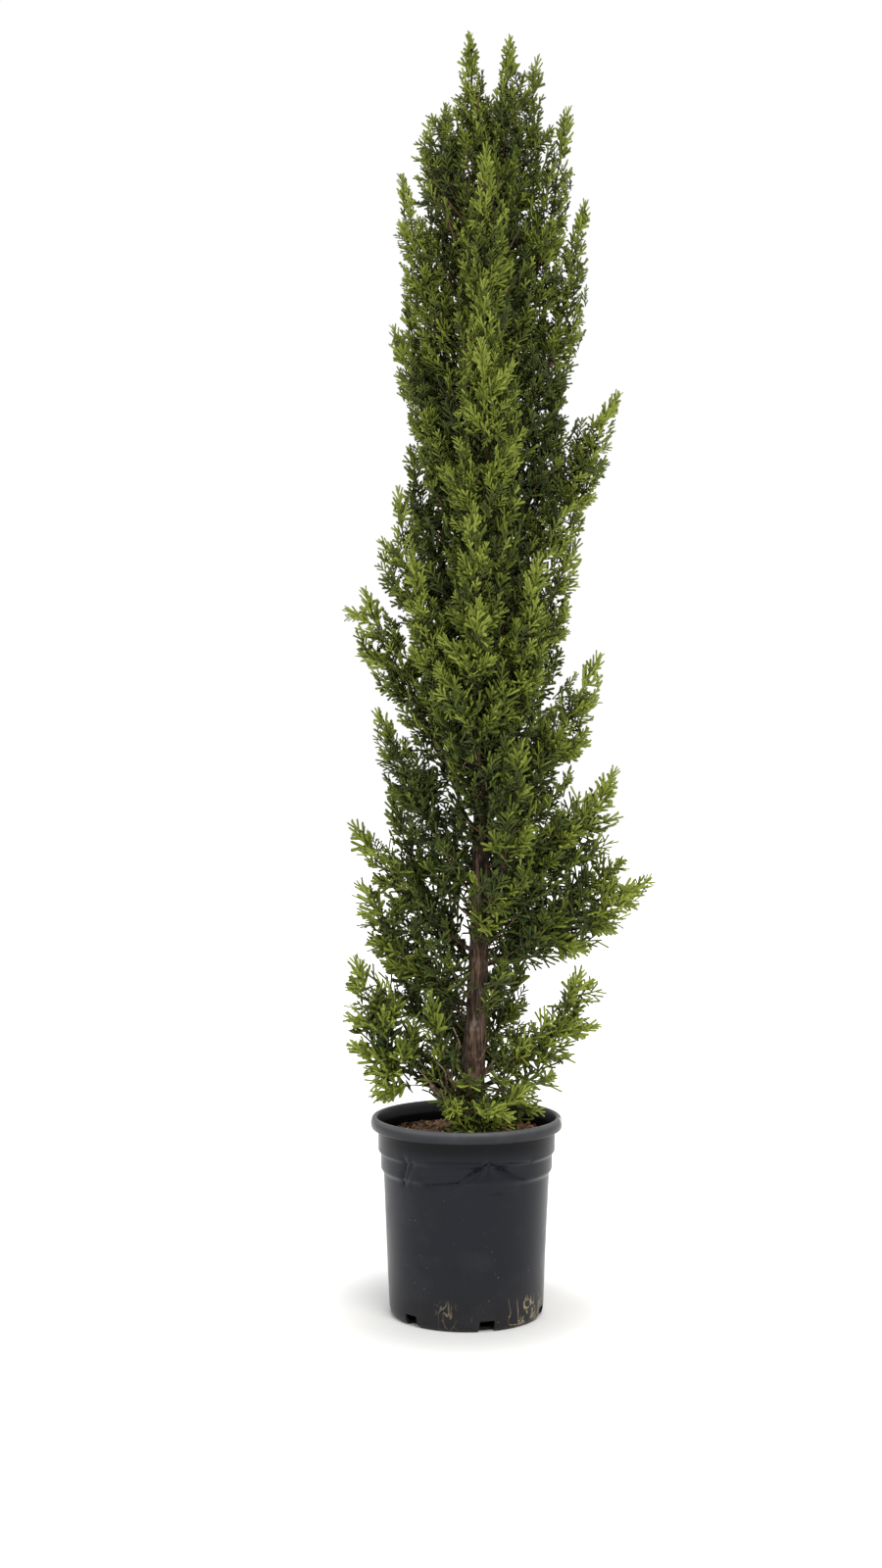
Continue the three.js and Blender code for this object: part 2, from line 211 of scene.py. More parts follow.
def rounded(profile):
    """A profile with its corners rounded and its long runs divided."""
    outline, steps = [], []
    for k, (radius, height, bend, step) in enumerate(profile):
        here = np.array([radius, height], dtype=float)
        if bend == 0:
            outline.append(here)
            steps.append(step)
            continue
        back, on = (np.array(profile[n][:2], float) - here for n in (k - 1, k + 1))
        reach = min(bend, 0.45 * norm(back), 0.45 * norm(on))
        first, last = (here + way / norm(way) * reach for way in (back, on))
        for t in np.linspace(0.0, 1.0, 5):
            outline.append(first * (1 - t) ** 2 + here * 2 * t * (1 - t) + last * t * t)
            steps.append(step)
    dense = [outline[0]]
    for here, there, step in zip(outline, outline[1:], steps):
        parts = max(1, ceil(norm(there - here) / step))
        dense.extend(here + (there - here) * (k + 1) / parts for k in range(parts))
    return dense


def dent_depth(across, height):
    """How far the wall is pushed in at a place on its front, in millimetres."""
    depth = 0.0
    for (x0, z0), (x1, z1), deep, wide in DENT_CREASES:
        run = Vector((x1 - x0, z1 - z0))
        gap = Vector((across - x0, height - z0))
        share = min(1.0, max(0.0, gap.dot(run) / run.length_squared))
        far = (gap - run * share).length
        depth = max(depth, deep * (1.0 - 0.45 * share) * exp(-far / wide))
    hollow = exp(-((across - 12) / 56) ** 2 - ((height - 226) / 12) ** 2)
    swell = exp(-((across - 4) / 40) ** 2 - ((height - 205) / 6) ** 2)
    return 1.35 * depth + 1.8 * hollow - 1.2 * swell


def turned_shell(profile, turns):
    """Corners and faces of a profile turned about the upright axis, closed at both poles."""
    points = [(0.0, 0.0, profile[0][1])]
    for radius, height in profile[1:-1]:
        for k in range(turns):
            spin = 2 * pi * k / turns
            points.append((radius * sin(spin), -radius * cos(spin), height))
    points.append((0.0, 0.0, profile[-1][1]))
    faces = []
    rows = len(profile) - 2
    for k in range(turns):
        n = (k + 1) % turns
        faces.append((0, 1 + n, 1 + k))
        for row in range(rows - 1):
            a = 1 + row * turns
            faces.append((a + k, a + n, a + turns + n, a + turns + k))
        a = 1 + (rows - 1) * turns
        faces.append((a + k, a + n, len(points) - 1))
    return points, faces


# the turned wall, a little out of true all over and pushed in at the dent
points, faces = turned_shell(rounded(POT_PROFILE), POT_TURNS)
for k, (x, y, z) in enumerate(points):
    radius = hypot(x, y)
    if radius < FLAT_BASE:
        continue
    spin = atan2(x, -y)
    wave = noise.noise(Vector((sin(spin) * 1.3, cos(spin) * 1.3, z * 0.006)))
    push = WALL_WAVE * wave * min(1.0, z / WAVE_FULL)
    if abs(spin) < DENT_TURN and DENT_LOW < z < DENT_TOP:
        push -= dent_depth(DENT_RADIUS * spin, z) * min(1.0, (DENT_TOP - z) / 12)
    grow = (radius + push) / radius
    points[k] = (x * grow, y * grow, z)
pot_draft = mesh_object("pot_draft", [Vector(p) * MM for p in points], faces)

# the notches, cut by blocks that stand through the foot
cut_points, cut_faces = [], []
count = len(NOTCH_OUTLINE)
for notch in range(NOTCHES):
    turn = Matrix.Rotation(NOTCH_TURN + notch * 2 * pi / NOTCHES, 3, "Z")
    first = len(cut_points)
    for depth in NOTCH_DEPTHS:
        cut_points.extend(turn @ Vector((x, depth, z)) * MM for x, z in NOTCH_OUTLINE)
    cut_faces.append([first + i for i in range(count)])
    cut_faces.append([first + count + i for i in reversed(range(count))])
    for i in range(count):
        j = (i + 1) % count
        cut_faces.append([first + i, first + count + i, first + count + j, first + j])
cutter = mesh_object("notch_cutter", cut_points, cut_faces)
draft = bmesh.new()
draft.from_mesh(cutter.data)
bmesh.ops.recalc_face_normals(draft, faces=draft.faces)
draft.to_mesh(cutter.data)
draft.free()
cut = pot_draft.modifiers.new("notches", "BOOLEAN")
cut.operation = "DIFFERENCE"
cut.solver = "EXACT"
cut.object = cutter


def plain_mesh(source, name):
    """The mesh that an object's modifiers make, as a new plain object; the source goes."""
    graph = bpy.context.evaluated_depsgraph_get()
    mesh = bpy.data.meshes.new_from_object(source.evaluated_get(graph), depsgraph=graph)
    mesh.name = name
    bpy.data.objects.remove(source)
    return new_object(name, mesh)


pot = plain_mesh(pot_draft, "pot_shell")
bpy.data.objects.remove(cutter)
pot.data.shade_smooth()
pot.data.set_sharp_from_angle(angle=SHARP_ANGLE)


def tree_of(*values):
    """The node tree that the first node or socket among some values belongs to."""
    return next(v for v in values if isinstance(v, LINKED)).id_data


def ramp(factor, stops):
    """A colour ramp through stops, each a position and a grey."""
    node = add_node(tree_of(factor), "ShaderNodeValToRGB", {"Fac": factor})
    elements = node.color_ramp.elements
    elements.remove(elements[1])
    for k, (place, grey) in enumerate(stops):
        point = elements[0] if k == 0 else elements.new(place)
        point.position = place
        point.color = (grey, grey, grey, 1.0)
    return node


def mixed(factor, first, second, mode="MIX"):
    """Two colours mixed by a factor."""
    tree = tree_of(factor, first, second)
    colors = (c if isinstance(c, LINKED) else (*c, 1.0) for c in (first, second))
    node = add_node(tree, "ShaderNodeMix", dict(zip((0, 6, 7), (factor, *colors))),
                    data_type="RGBA", blend_type=mode)
    return node.outputs[2]


def maths(operation, first, second=0.0, third=0.0, clamp=False):
    """One sum on numbers or sockets."""
    return add_node(tree_of(first, second), "ShaderNodeMath", {0: first, 1: second, 2: third},
                    operation=operation, use_clamp=clamp)


def times(first, second, clamp=False):
    """Two numbers or sockets multiplied."""
    return maths("MULTIPLY", first, second, clamp=clamp)


def noise_at(place, scale, detail=2.0, roughness=0.5, distortion=0.0):
    """The value of a noise texture at a place."""
    return add_node(place.id_data, "ShaderNodeTexNoise", {
        "Vector": place, "Scale": scale, "Detail": detail, "Roughness": roughness,
        "Distortion": distortion})


def stretched(place, scale, turn=(0.0, 0.0, 0.0)):
    """A place turned, and scaled along each axis."""
    return add_node(place.id_data, "ShaderNodeMapping", {
        "Vector": place, "Scale": scale, "Rotation": turn})


def add_relief(shader, height, strength, distance):
    """Fine bumps on a shader's surface."""
    bump = add_node(height.id_data, "ShaderNodeBump", {
        "Height": height, "Strength": strength, "Distance": distance})
    wire(bump, shader, "Normal")


def node_group(name, group_kind, inputs, outputs):
    """A node group with its named inputs and outputs, and the nodes for them inside it."""
    tree = bpy.data.node_groups.new(name, group_kind)
    for label, kind, default in inputs:
        socket = tree.interface.new_socket(label, in_out="INPUT", socket_type="NodeSocket" + kind)
        if default is not None:
            socket.default_value = default
    for label, kind in outputs:
        tree.interface.new_socket(label, in_out="OUTPUT", socket_type="NodeSocket" + kind)
    return tree, tree.nodes.new("NodeGroupInput"), tree.nodes.new("NodeGroupOutput")


def patches_group():
    """Soft worn patches with fine speckle in them, as a mask and a height."""
    tree, given, result = node_group("dusty_patches", "ShaderNodeTree", [
        ("Vector", "Vector", None), ("Patch Scale", "Float", 12.0), ("Grain Scale", "Float", 300.0),
        ("Cover", "Float", 0.5)], [("Mask", "Float"), ("Height", "Float")])
    place, patch_scale, grain_scale, cover = given.outputs[:4]
    patch = noise_at(place, patch_scale, 5.0, 0.62)
    grain = noise_at(place, grain_scale, 3.0)
    spread = times(maths("SUBTRACT", patch, maths("SUBTRACT", 1.0, cover)), 3.2, clamp=True)
    speckle = maths("MULTIPLY_ADD", grain, 1.3, -0.1)
    wire(times(spread, speckle, clamp=True), result, "Mask")
    wire(grain, result, "Height")
    return tree


def near_band(value, centre, half):
    """One near a value and nothing beyond half the band, with soft ends."""
    away = maths("ABSOLUTE", maths("SUBTRACT", value, centre))
    return maths("SUBTRACT", 1.0, times(away, 1.0 / half), clamp=True)


dusty_patches = patches_group()
pot_plastic, pot_shader = principled("pot_plastic", (0.018, 0.019, 0.023), 0.42, 0.13)
tree, place = pot_plastic.node_tree, own_place(pot_plastic)
across, _, height = add_node(tree, "ShaderNodeSeparateXYZ", {0: place}).outputs
dust = add_node(tree, "ShaderNodeGroup", {
    "Vector": place, "Patch Scale": 16.0, "Grain Scale": 420.0, "Cover": 0.50},
    node_tree=dusty_patches)

# fine scratches, specks of potting mix, and dust that lies thickest at the foot
scratches = ramp(noise_at(stretched(place, (60.0, 60.0, 420.0), (0.25, 0.15, 0.0)), 1.0, 3.0),
                 [(0.71, 0.0), (0.76, 1.0)])
speck = add_node(tree, "ShaderNodeTexVoronoi", {"Vector": place, "Scale": 85.0})
specks = times(ramp(speck, [(0.05, 1.0), (0.11, 0.0)]),
               ramp(noise_at(place, 23.0), [(0.56, 0.0), (0.64, 1.0)]))
foot_dust = ramp(height, [(0.0, 0.55), (0.03, 0.25), (0.09, 0.0)])

# dried mud that ran down to the foot, left as thin tan outlines
mud = noise_at(stretched(place, (62.0, 62.0, 26.0)), 1.0, 2.5, distortion=0.8)
mud_line = ramp(maths("ABSOLUTE", maths("SUBTRACT", mud, 0.52)),
                [(0.0, 1.0), (0.010, 0.9), (0.024, 0.0)])
mud_low = ramp(height, [(0.034, 1.0), (0.046, 0.0)])
left_run, right_run = near_band(across, -0.030, 0.018), near_band(across, 0.078, 0.024)
runs = times(maths("ADD", times(left_run, 0.2), right_run), 3.0, clamp=True)
back_runs = ramp(noise_at(place, 14.0), [(0.60, 0.0), (0.66, 0.8)])
mud_mask = times(times(mud_line, mud_low), maths("MAXIMUM", runs, back_runs))

# a chip on the rim where the plastic is rubbed through to a pale filler
chip_away = add_node(tree, "ShaderNodeVectorMath", {0: place, 1: CHIP_PLACE}, operation="DISTANCE")
chip = maths("LESS_THAN", chip_away.outputs["Value"],
             maths("MULTIPLY_ADD", noise_at(place, 160.0), 0.009, 0.0035))

# the collar just under the rim is painted near black as the rim's shadow, and
# the lip is scuffed grey with a painted highlight along its top edge
# painted shadow: a near-black band on the collar under the rim, where the rim's shadow falls
collar = ramp(height, [(0.244, 0.0), (0.258, 0.8), (0.2695, 0.8), (0.2715, 0.0)])
# scuffed grey over the lip, and a painted highlight along its top edge
lip_scuff_and_highlight = ramp(height, [(0.270, 0.0), (0.272, 0.16), (0.2805, 0.24), (0.2838, 1.0)])
lip_worn = maths("MULTIPLY_ADD", dust.outputs["Mask"], 0.55, 0.55)
color = mixed(times(dust.outputs["Mask"], 0.60), (0.0105, 0.0115, 0.0158), (0.043, 0.044, 0.049))
for mask, tone in (
    # painted shadow under the rim
    (collar, (0.0016, 0.0018, 0.0024)),
    # scuffs and a painted highlight on the lip
    (times(lip_scuff_and_highlight, lip_worn, clamp=True), (0.140, 0.142, 0.148)),
    (times(foot_dust, dust.outputs["Height"]), (0.050, 0.046, 0.038)),
    (times(scratches, 0.16), (0.16, 0.16, 0.17)),
    (times(specks, 0.45), (0.22, 0.20, 0.15)),
    (times(mud_mask, 0.80), (0.38, 0.30, 0.18)),
    (chip, (0.60, 0.55, 0.42)),
):
    color = mixed(mask, color, tone)
wire(color, pot_shader, "Base Color")
wire(ramp(dust.outputs["Mask"], [(0.0, 0.29), (1.0, 0.54)]), pot_shader, "Roughness")
add_relief(pot_shader, noise_at(place, 900.0), 0.12, 0.0006)
pot.data.materials.append(pot_plastic)
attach(pot, "root")
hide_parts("pot")

# --- Soil -----------------------------
# Peaty potting mix a couple of fingers below the rim, dark and damp, that
# fills the pot to its foot. Its top is cloddy, with a mound at the trunk.

SOIL_LEVEL, SOIL_RADIUS = 0.2600, 0.1253
SOIL_RINGS, SOIL_TURNS = 44, 160
SOIL_FOOT = [(0.0, 0.0048), (0.080, 0.0048), (0.0880, 0.0300), (0.1110, 0.2400)]
SOIL_EDGE_DROP = 0.002
CLOD_HEIGHT, SWELL_HEIGHT, MOUND_HEIGHT, MOUND_REACH = 0.0030, 0.0022, 0.0030, 0.035


def soil_height(x, y):
    """The height of the soil's top: clods, hollows and a low mound round the trunk."""
    spot = Vector((x, y, 0.0))
    clods = noise.fractal(spot * 45.0, 1.0, 2.1, 5)
    swell = noise.noise(spot * 14.0 + Vector((3.0, 8.0, 1.0)))
    mound = MOUND_HEIGHT * exp(-(hypot(x, y) / MOUND_REACH) ** 2)
    return SOIL_LEVEL - 0.0015 + CLOD_HEIGHT * clods + SWELL_HEIGHT * swell + mound


def soil_material(name, dark, light, damp):
    """Peat of one shade, mottled, with a grainy surface."""
    material, shader = principled(name, light, 0.9, 0.2)
    patch = add_node(material.node_tree, "ShaderNodeGroup", {
        "Vector": own_place(material), "Patch Scale": 55.0, "Grain Scale": 700.0, "Cover": 0.58},
        node_tree=dusty_patches)
    wire(mixed(patch.outputs["Mask"], dark, light), shader, "Base Color")
    add_relief(shader, patch.outputs["Height"], damp, 0.002)
    return material


soil_rings = [(SOIL_RADIUS * (1.0 - ring / SOIL_RINGS), SOIL_LEVEL) for ring in range(SOIL_RINGS)]
soil_points, soil_faces = turned_shell([*SOIL_FOOT, *soil_rings, (0.0, SOIL_LEVEL)], SOIL_TURNS)
top = 1 + (len(SOIL_FOOT) - 1) * SOIL_TURNS
for k, (x, y, _) in enumerate(soil_points[top:], top):
    soil_points[k] = (x, y, soil_height(x, y) - SOIL_EDGE_DROP * (k < top + SOIL_TURNS))
peat = soil_material("peat", (0.120, 0.068, 0.040), (0.500, 0.300, 0.175), 0.7)
soil = mesh_object("soil_top", soil_points, soil_faces, [peat], smooth=True)
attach(soil, "root")
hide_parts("soil")

# --- Loose crumbs ---------------------
# Broken lumps of peat, bits of bark and tufts of moss that lie on the soil,
# up to a few millimetres across, held by nothing but their weight.

CRUMB_KINDS, CRUMBS = 5, 1500
CRUMB_SIZE, CRUMB_REACH, CRUMB_LIFT = 0.0042, SOIL_RADIUS - 0.004, 0.0008
MOSS, MOSS_PATCH = 3, 0.28
crumb_materials = [soil_material(*row) for row in (
    ("crumb_dark", (0.090, 0.050, 0.030), (0.230, 0.130, 0.075), 0.6),
    ("crumb_brown", (0.340, 0.185, 0.100), (0.640, 0.390, 0.225), 0.6),
    ("crumb_pale", (0.340, 0.230, 0.155), (0.620, 0.480, 0.350), 0.5),
    ("moss", (0.030, 0.036, 0.010), (0.085, 0.095, 0.030), 0.8),
)]


def crumb_kind(seed):
    """One broken crumb, about as large as one unit."""
    draw = np.random.default_rng(70 + seed)
    shape = bmesh.new()
    bmesh.ops.create_icosphere(shape, subdivisions=1, radius=0.5)
    stretch = draw.uniform(0.6, 1.5, 3)
    for vert in shape.verts:
        vert.co = Vector(vert.co[i] * stretch[i] for i in range(3)) * draw.uniform(0.75, 1.25)
    mesh = bpy.data.meshes.new(f"crumb_kind_{seed}")
    shape.to_mesh(mesh)
    shape.free()
    return bpy.data.objects.new(mesh.name, mesh)


crumb_kinds = bpy.data.collections.new("crumb_kinds")
for seed in range(CRUMB_KINDS):
    crumb_kinds.objects.link(crumb_kind(seed))


def geometry_tree(name, inputs):
    """A geometry tree that takes and gives geometry, with its other inputs by name."""
    return node_group(name, "GeometryNodeTree", [("Geometry", "Geometry", None), *inputs],
                      [("Geometry", "Geometry")])


def named(tree, attribute, kind):
    """The value of a named attribute."""
    return add_node(tree, "GeometryNodeInputNamedAttribute", {"Name": attribute}, data_type=kind)


def painted(flow, index, materials):
    """Geometry given one of several materials by a whole number."""
    for step, material in enumerate(materials):
        tree = flow.id_data
        flow = add_node(tree, "GeometryNodeSetMaterial", {"Geometry": flow, "Material": material})
        if step:
            above = add_node(tree, "FunctionNodeCompare", {0: index, 1: step - 0.5},
                             data_type="FLOAT", operation="GREATER_THAN")
            wire(above, flow, "Selection")
    return flow


def stood_on_points(given, kinds, turn, scale):
    """Real copies of a collection's kinds, stood on points by the points' kind and size."""
    tree = given.id_data
    pick = add_node(tree, "GeometryNodeCollectionInfo", {
        "Collection": given.outputs[kinds], "Separate Children": True, "Reset Children": True})
    stand = add_node(tree, "GeometryNodeInstanceOnPoints", {
        "Points": given.outputs["Geometry"], "Instance": pick, "Pick Instance": True,
        "Instance Index": named(tree, "kind", "INT"), "Rotation": turn,
        "Scale": times(named(tree, "size", "FLOAT"), given.outputs[scale])})
    return add_node(tree, "GeometryNodeRealizeInstances", {"Geometry": stand})


def scatter_tree():
    """Crumbs laid at random on points, by their size, kind and shade."""
    tree, given, result = geometry_tree("scatter_crumbs", [
        ("Crumbs", "Collection", None), ("Crumb Size", "Float", 0.004), ("Seed", "Int", 7)])
    turn = add_node(tree, "FunctionNodeRandomValue", {
        "Max": (6.28, 6.28, 6.28), "Seed": given.outputs["Seed"]}, data_type="FLOAT_VECTOR")
    lumps = stood_on_points(given, "Crumbs", turn, "Crumb Size")
    wire(painted(lumps, named(tree, "shade", "INT"), crumb_materials), result, "Geometry")
    return tree


def grown(source, tree, inputs, name):
    """The plain mesh that a geometry tree makes of a source object."""
    modifier = source.modifiers.new("growth", "NODES")
    modifier.node_group = tree
    for item in tree.interface.items_tree:
        if item.item_type == "SOCKET" and item.in_out == "INPUT" and item.name in inputs:
            modifier[item.identifier] = inputs[item.name]
    return plain_mesh(source, name)


def point_cloud(name, places, layers, edges=()):
    """A mesh of points, or of lines, that carries named values for a geometry tree."""
    cloud = mesh_object(name, places, [], edges=edges)
    for label, kind, values in layers:
        layer = cloud.data.attributes.new(label, kind, "POINT")
        layer.data.foreach_set("vector" if kind == "FLOAT_VECTOR" else "value", np.ravel(values))
    return cloud


draw = np.random.default_rng(17)
crumb_places, crumb_sizes, crumb_shades = [], [], []
for _ in range(CRUMBS):
    radius, spin = CRUMB_REACH * sqrt(draw.random()), draw.random() * 2 * pi
    x, y = radius * cos(spin), radius * sin(spin)
    size = 0.35 + 1.5 * draw.random() ** 3
    mossy = noise.noise(Vector((x, y, 0.3)) * 22.0) > MOSS_PATCH and draw.random() < 0.5
    crumb_places.append((x, y, soil_height(x, y) + CRUMB_LIFT * size))
    crumb_sizes.append(size)
    crumb_shades.append(MOSS if mossy else int(draw.choice(MOSS, p=(0.4, 0.42, 0.18))))
crumbs = grown(
    point_cloud("crumb_points", crumb_places, [
        ("size", "FLOAT", crumb_sizes), ("kind", "INT", draw.integers(0, CRUMB_KINDS, CRUMBS)),
        ("shade", "INT", crumb_shades)]),
    scatter_tree(), {"Crumbs": crumb_kinds, "Crumb Size": CRUMB_SIZE, "Seed": 7}, "soil_crumbs")
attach(crumbs, "root")

# --- Trunk ----------------------------
# One tapering trunk with fibrous red-brown bark that peels in long strips.
# It is rooted in the soil and runs up through the foliage to the leader.

BARK_SIDES, BARK_RINGS, SKIN_SHARE = 56, 520, 0.94
FLARE, FLARE_FOOT, FLARE_FADE = 0.0035, 0.262, 0.022
UP = np.array([0.0, 0.0, 1.0])
rng = np.random.default_rng(41)


def node_points(node):
    """The corners of a CAD node, each once, as an array."""
    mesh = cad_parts[node].data
    flat = np.empty(len(mesh.vertices) * 3)
    mesh.vertices.foreach_get("co", flat)
    return np.unique(flat.reshape(-1, 3).round(5), axis=0)


def trunk_line():
    """Centre, height and radius at each station of the trunk, from its rings of corners."""
    points = node_points("trunk")
    rows = []
    for level in np.unique(points[:, 2].round(4)):
        ring = points[np.abs(points[:, 2] - level) < 2e-4]
        if len(ring) >= 8:
            centre = ring.mean(axis=0)
            rows.append((*centre, norm(ring - centre, axis=1).max()))
    return np.array(rows)


TRUNK = trunk_line()


def trunk_at(height):
    """The trunk's centre and radius at a height."""
    x, y, radius = (np.interp(height, TRUNK[:, 2], TRUNK[:, k]) for k in (0, 1, 3))
    return Vector((x, y, height)), radius


def trunk_centres(heights):
    """The trunk's centre at each of several heights."""
    return np.array([trunk_at(z)[0][:] for z in heights])


def unit(v):
    """A vector at length one."""
    return v / (norm(v) + 1e-12)


def units(rows):
    """Several vectors, each at length one."""
    return rows / norm(rows, axis=1)[:, None]


def length_along(path):
    """The distance run at each point of a path."""
    return np.concatenate([[0.0], np.cumsum(norm(np.diff(path, axis=0), axis=1))])


def along(path, run, at):
    """The place or places on a path at a distance, or distances, along it."""
    return np.stack([np.interp(at, run, path[:, c]) for c in range(3)], axis=-1)


def smooth_path(points, count):
    """A Catmull-Rom curve through points, as count points at even steps."""
    knots = np.array([np.asarray(p, dtype=float) for p in points])
    knots = np.concatenate([[knots[0] * 2 - knots[1]], knots, [knots[-1] * 2 - knots[-2]]])
    t = np.linspace(0.0, 1.0, 8, endpoint=False)[:, None]
    dense = []
    for k in range(1, len(knots) - 2):
        p0, p1, p2, p3 = knots[k - 1:k + 3]
        dense.append(0.5 * (2 * p1 + (p2 - p0) * t + (2 * p0 - 5 * p1 + 4 * p2 - p3) * t ** 2
                            + (3 * p1 - p0 - 3 * p2 + p3) * t ** 3))
    dense = np.concatenate([*dense, knots[-2:-1]])
    run = length_along(dense)
    return along(dense, run, np.linspace(0.0, run[-1], count))


def tube(path, radii, sides, relief=None):
    """Corners and faces of a closed tube along a path, with an optional relief of the skin."""
    path = np.asarray(path, dtype=float)
    ahead = units(np.gradient(path, axis=0))
    side = np.cross(ahead[0], (0.31, 0.87, 0.38))
    turn = np.arange(sides) * 2 * pi / sides
    rows = []
    for k, centre in enumerate(path):
        side = unit(side - ahead[k] * (side @ ahead[k]))
        other = np.cross(ahead[k], side)
        out = np.cos(turn)[:, None] * side + np.sin(turn)[:, None] * other
        grow = np.full(sides, radii[k])
        if relief is not None:
            grow = grow + relief(centre, out, radii[k])
        rows.append(centre + out * grow[:, None])
    points = np.concatenate([*rows, path[:1], path[-1:]])
    faces = []
    for k in range(len(path) - 1):
        for s in range(sides):
            a, b = k * sides + s, k * sides + (s + 1) % sides
            faces.append((a, b, b + sides, a + sides))
    last = (len(path) - 1) * sides
    for s in range(sides):
        faces.append((len(points) - 2, (s + 1) % sides, s))
        faces.append((len(points) - 1, last + s, last + (s + 1) % sides))
    return points, faces


def bark_relief(centre, out, radius):
    """Long strips and fissures that wander up the trunk, and a swell at its foot."""
    z = centre[2]
    depth = []
    for x, y, _ in out:
        twist = atan2(y, x) + 1.3 * z
        spot = Vector((cos(twist) * 2.6, sin(twist) * 2.6, z * 9.0))
        fine = Vector((cos(twist) * 10.0, sin(twist) * 10.0, z * 30.0))
        strip = abs(noise.noise(spot * 1.7)) * 2.0 - 0.5
        plate = max(0.0, noise.noise(fine * 0.55)) * 0.10
        depth.append(radius * (0.10 * strip + plate + 0.07 * noise.noise(spot * 0.6))
                     + 0.0011 * noise.noise(fine))
    return np.array(depth) + FLARE * exp(-max(0.0, z - FLARE_FOOT) / FLARE_FADE)


def bark_group():
    """Fibrous bark: dark fissures, red-brown strips and pale grey flakes over them."""
    tree, given, result = node_group("fibrous_bark", "ShaderNodeTree", [
        ("Vector", "Vector", None), ("Strip Scale", "Float", 200.0), ("Dark", "Color", None),
        ("Light", "Color", None)], [("Color", "Color"), ("Height", "Float")])
    place, strip_scale, dark, light = given.outputs[:4]
    strips = noise_at(stretched(place, (1.0, 1.0, 0.16)), strip_scale, 6.0, 0.68, 0.5)
    middle = mixed(1.0, mixed(0.4375, dark, light), (0.8, 0.8, 0.8), "MULTIPLY")
    tone = mixed(ramp(strips, [(0.40, 0.0), (0.50, 1.0)]), dark, middle)
    tone = mixed(ramp(strips, [(0.50, 0.0), (0.62, 1.0)]), tone, light)
    flakes = times(ramp(noise_at(place, 60.0, 4.0), [(0.52, 0.0), (0.66, 0.75)]),
                   ramp(strips, [(0.46, 0.0), (0.56, 1.0)]))
    wire(mixed(flakes, tone, mixed(0.4, light, (0.35, 0.35, 0.35))), result, "Color")
    wire(strips, result, "Height")
    return tree


fibrous_bark = bark_group()


def bark_material(name, dark, light, strip_scale):
    """Fibrous bark of one shade."""
    material, shader = principled(name, light, 0.85, 0.25)
    skin = add_node(material.node_tree, "ShaderNodeGroup", {
        "Vector": own_place(material), "Strip Scale": strip_scale, "Dark": (*dark, 1.0),
        "Light": (*light, 1.0)}, node_tree=fibrous_bark)
    wire(skin.outputs["Color"], shader, "Base Color")
    add_relief(shader, skin.outputs["Height"], 0.9, 0.004)
    return material


trunk_heights = np.linspace(TRUNK[0, 2], TRUNK[-1, 2], BARK_RINGS)
trunk_radii = np.array([trunk_at(z)[1] for z in trunk_heights]) * SKIN_SHARE
bark = bark_material("bark", (0.013, 0.008, 0.006), (0.190, 0.118, 0.078), 150.0)
trunk = mesh_object(
    "trunk_bark", *tube(trunk_centres(trunk_heights), trunk_radii, BARK_SIDES, bark_relief),
    [bark], smooth=True)
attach(trunk, "root")
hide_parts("trunk")

# --- Limbs ----------------------------
# A limb leaves the trunk for every mass of foliage and forks to its tips.
# Its bark is thinner and redder; it swells to a collar where it joins.

LIMB_SIDES, LIMB_WANDER, COLLAR_SWELL, COLLAR_REACH = 6, 0.0022, 0.9, 0.012
TIP_APART, FORK_ANGLE = 0.03, radians(36)
# noise_vector takes its seed from the clock unless one is set
noise.seed_set(5)
PLUMES = sorted(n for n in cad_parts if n.startswith("plume_"))
BOUGHS = {n.replace("bough_", "plume_"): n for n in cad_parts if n.startswith("bough_")}


def surface_sample(node, count):
    """Points spread evenly over a CAD node's surface."""
    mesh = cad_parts[node].data
    mesh.calc_loop_triangles()
    corners = np.array([[mesh.vertices[i].co[:] for i in t.vertices] for t in mesh.loop_triangles])
    across = np.cross(corners[:, 1] - corners[:, 0], corners[:, 2] - corners[:, 0])
    area = norm(across, axis=1)
    pick = rng.choice(len(corners), count, p=area / area.sum())
    a, b = rng.random((2, count))
    fold = a + b > 1.0
    a[fold], b[fold] = 1.0 - a[fold], 1.0 - b[fold]
    tri = corners[pick]
    return tri[:, 0] + a[:, None] * (tri[:, 1] - tri[:, 0]) + b[:, None] * (tri[:, 2] - tri[:, 0])


def plume_tips(corners, base):
    """The outlying corners of a plume, the farthest from its base first."""
    far = norm(corners - base, axis=1)
    tips = []
    for k in np.argsort(-far):
        near = norm(corners - corners[k], axis=1) < TIP_APART
        if far[k] < 0.45 * far.max() or far[near].max() > far[k]:
            continue
        if all(norm(corners[k] - tip) > TIP_APART for tip in tips):
            tips.append(corners[k])
    return tips


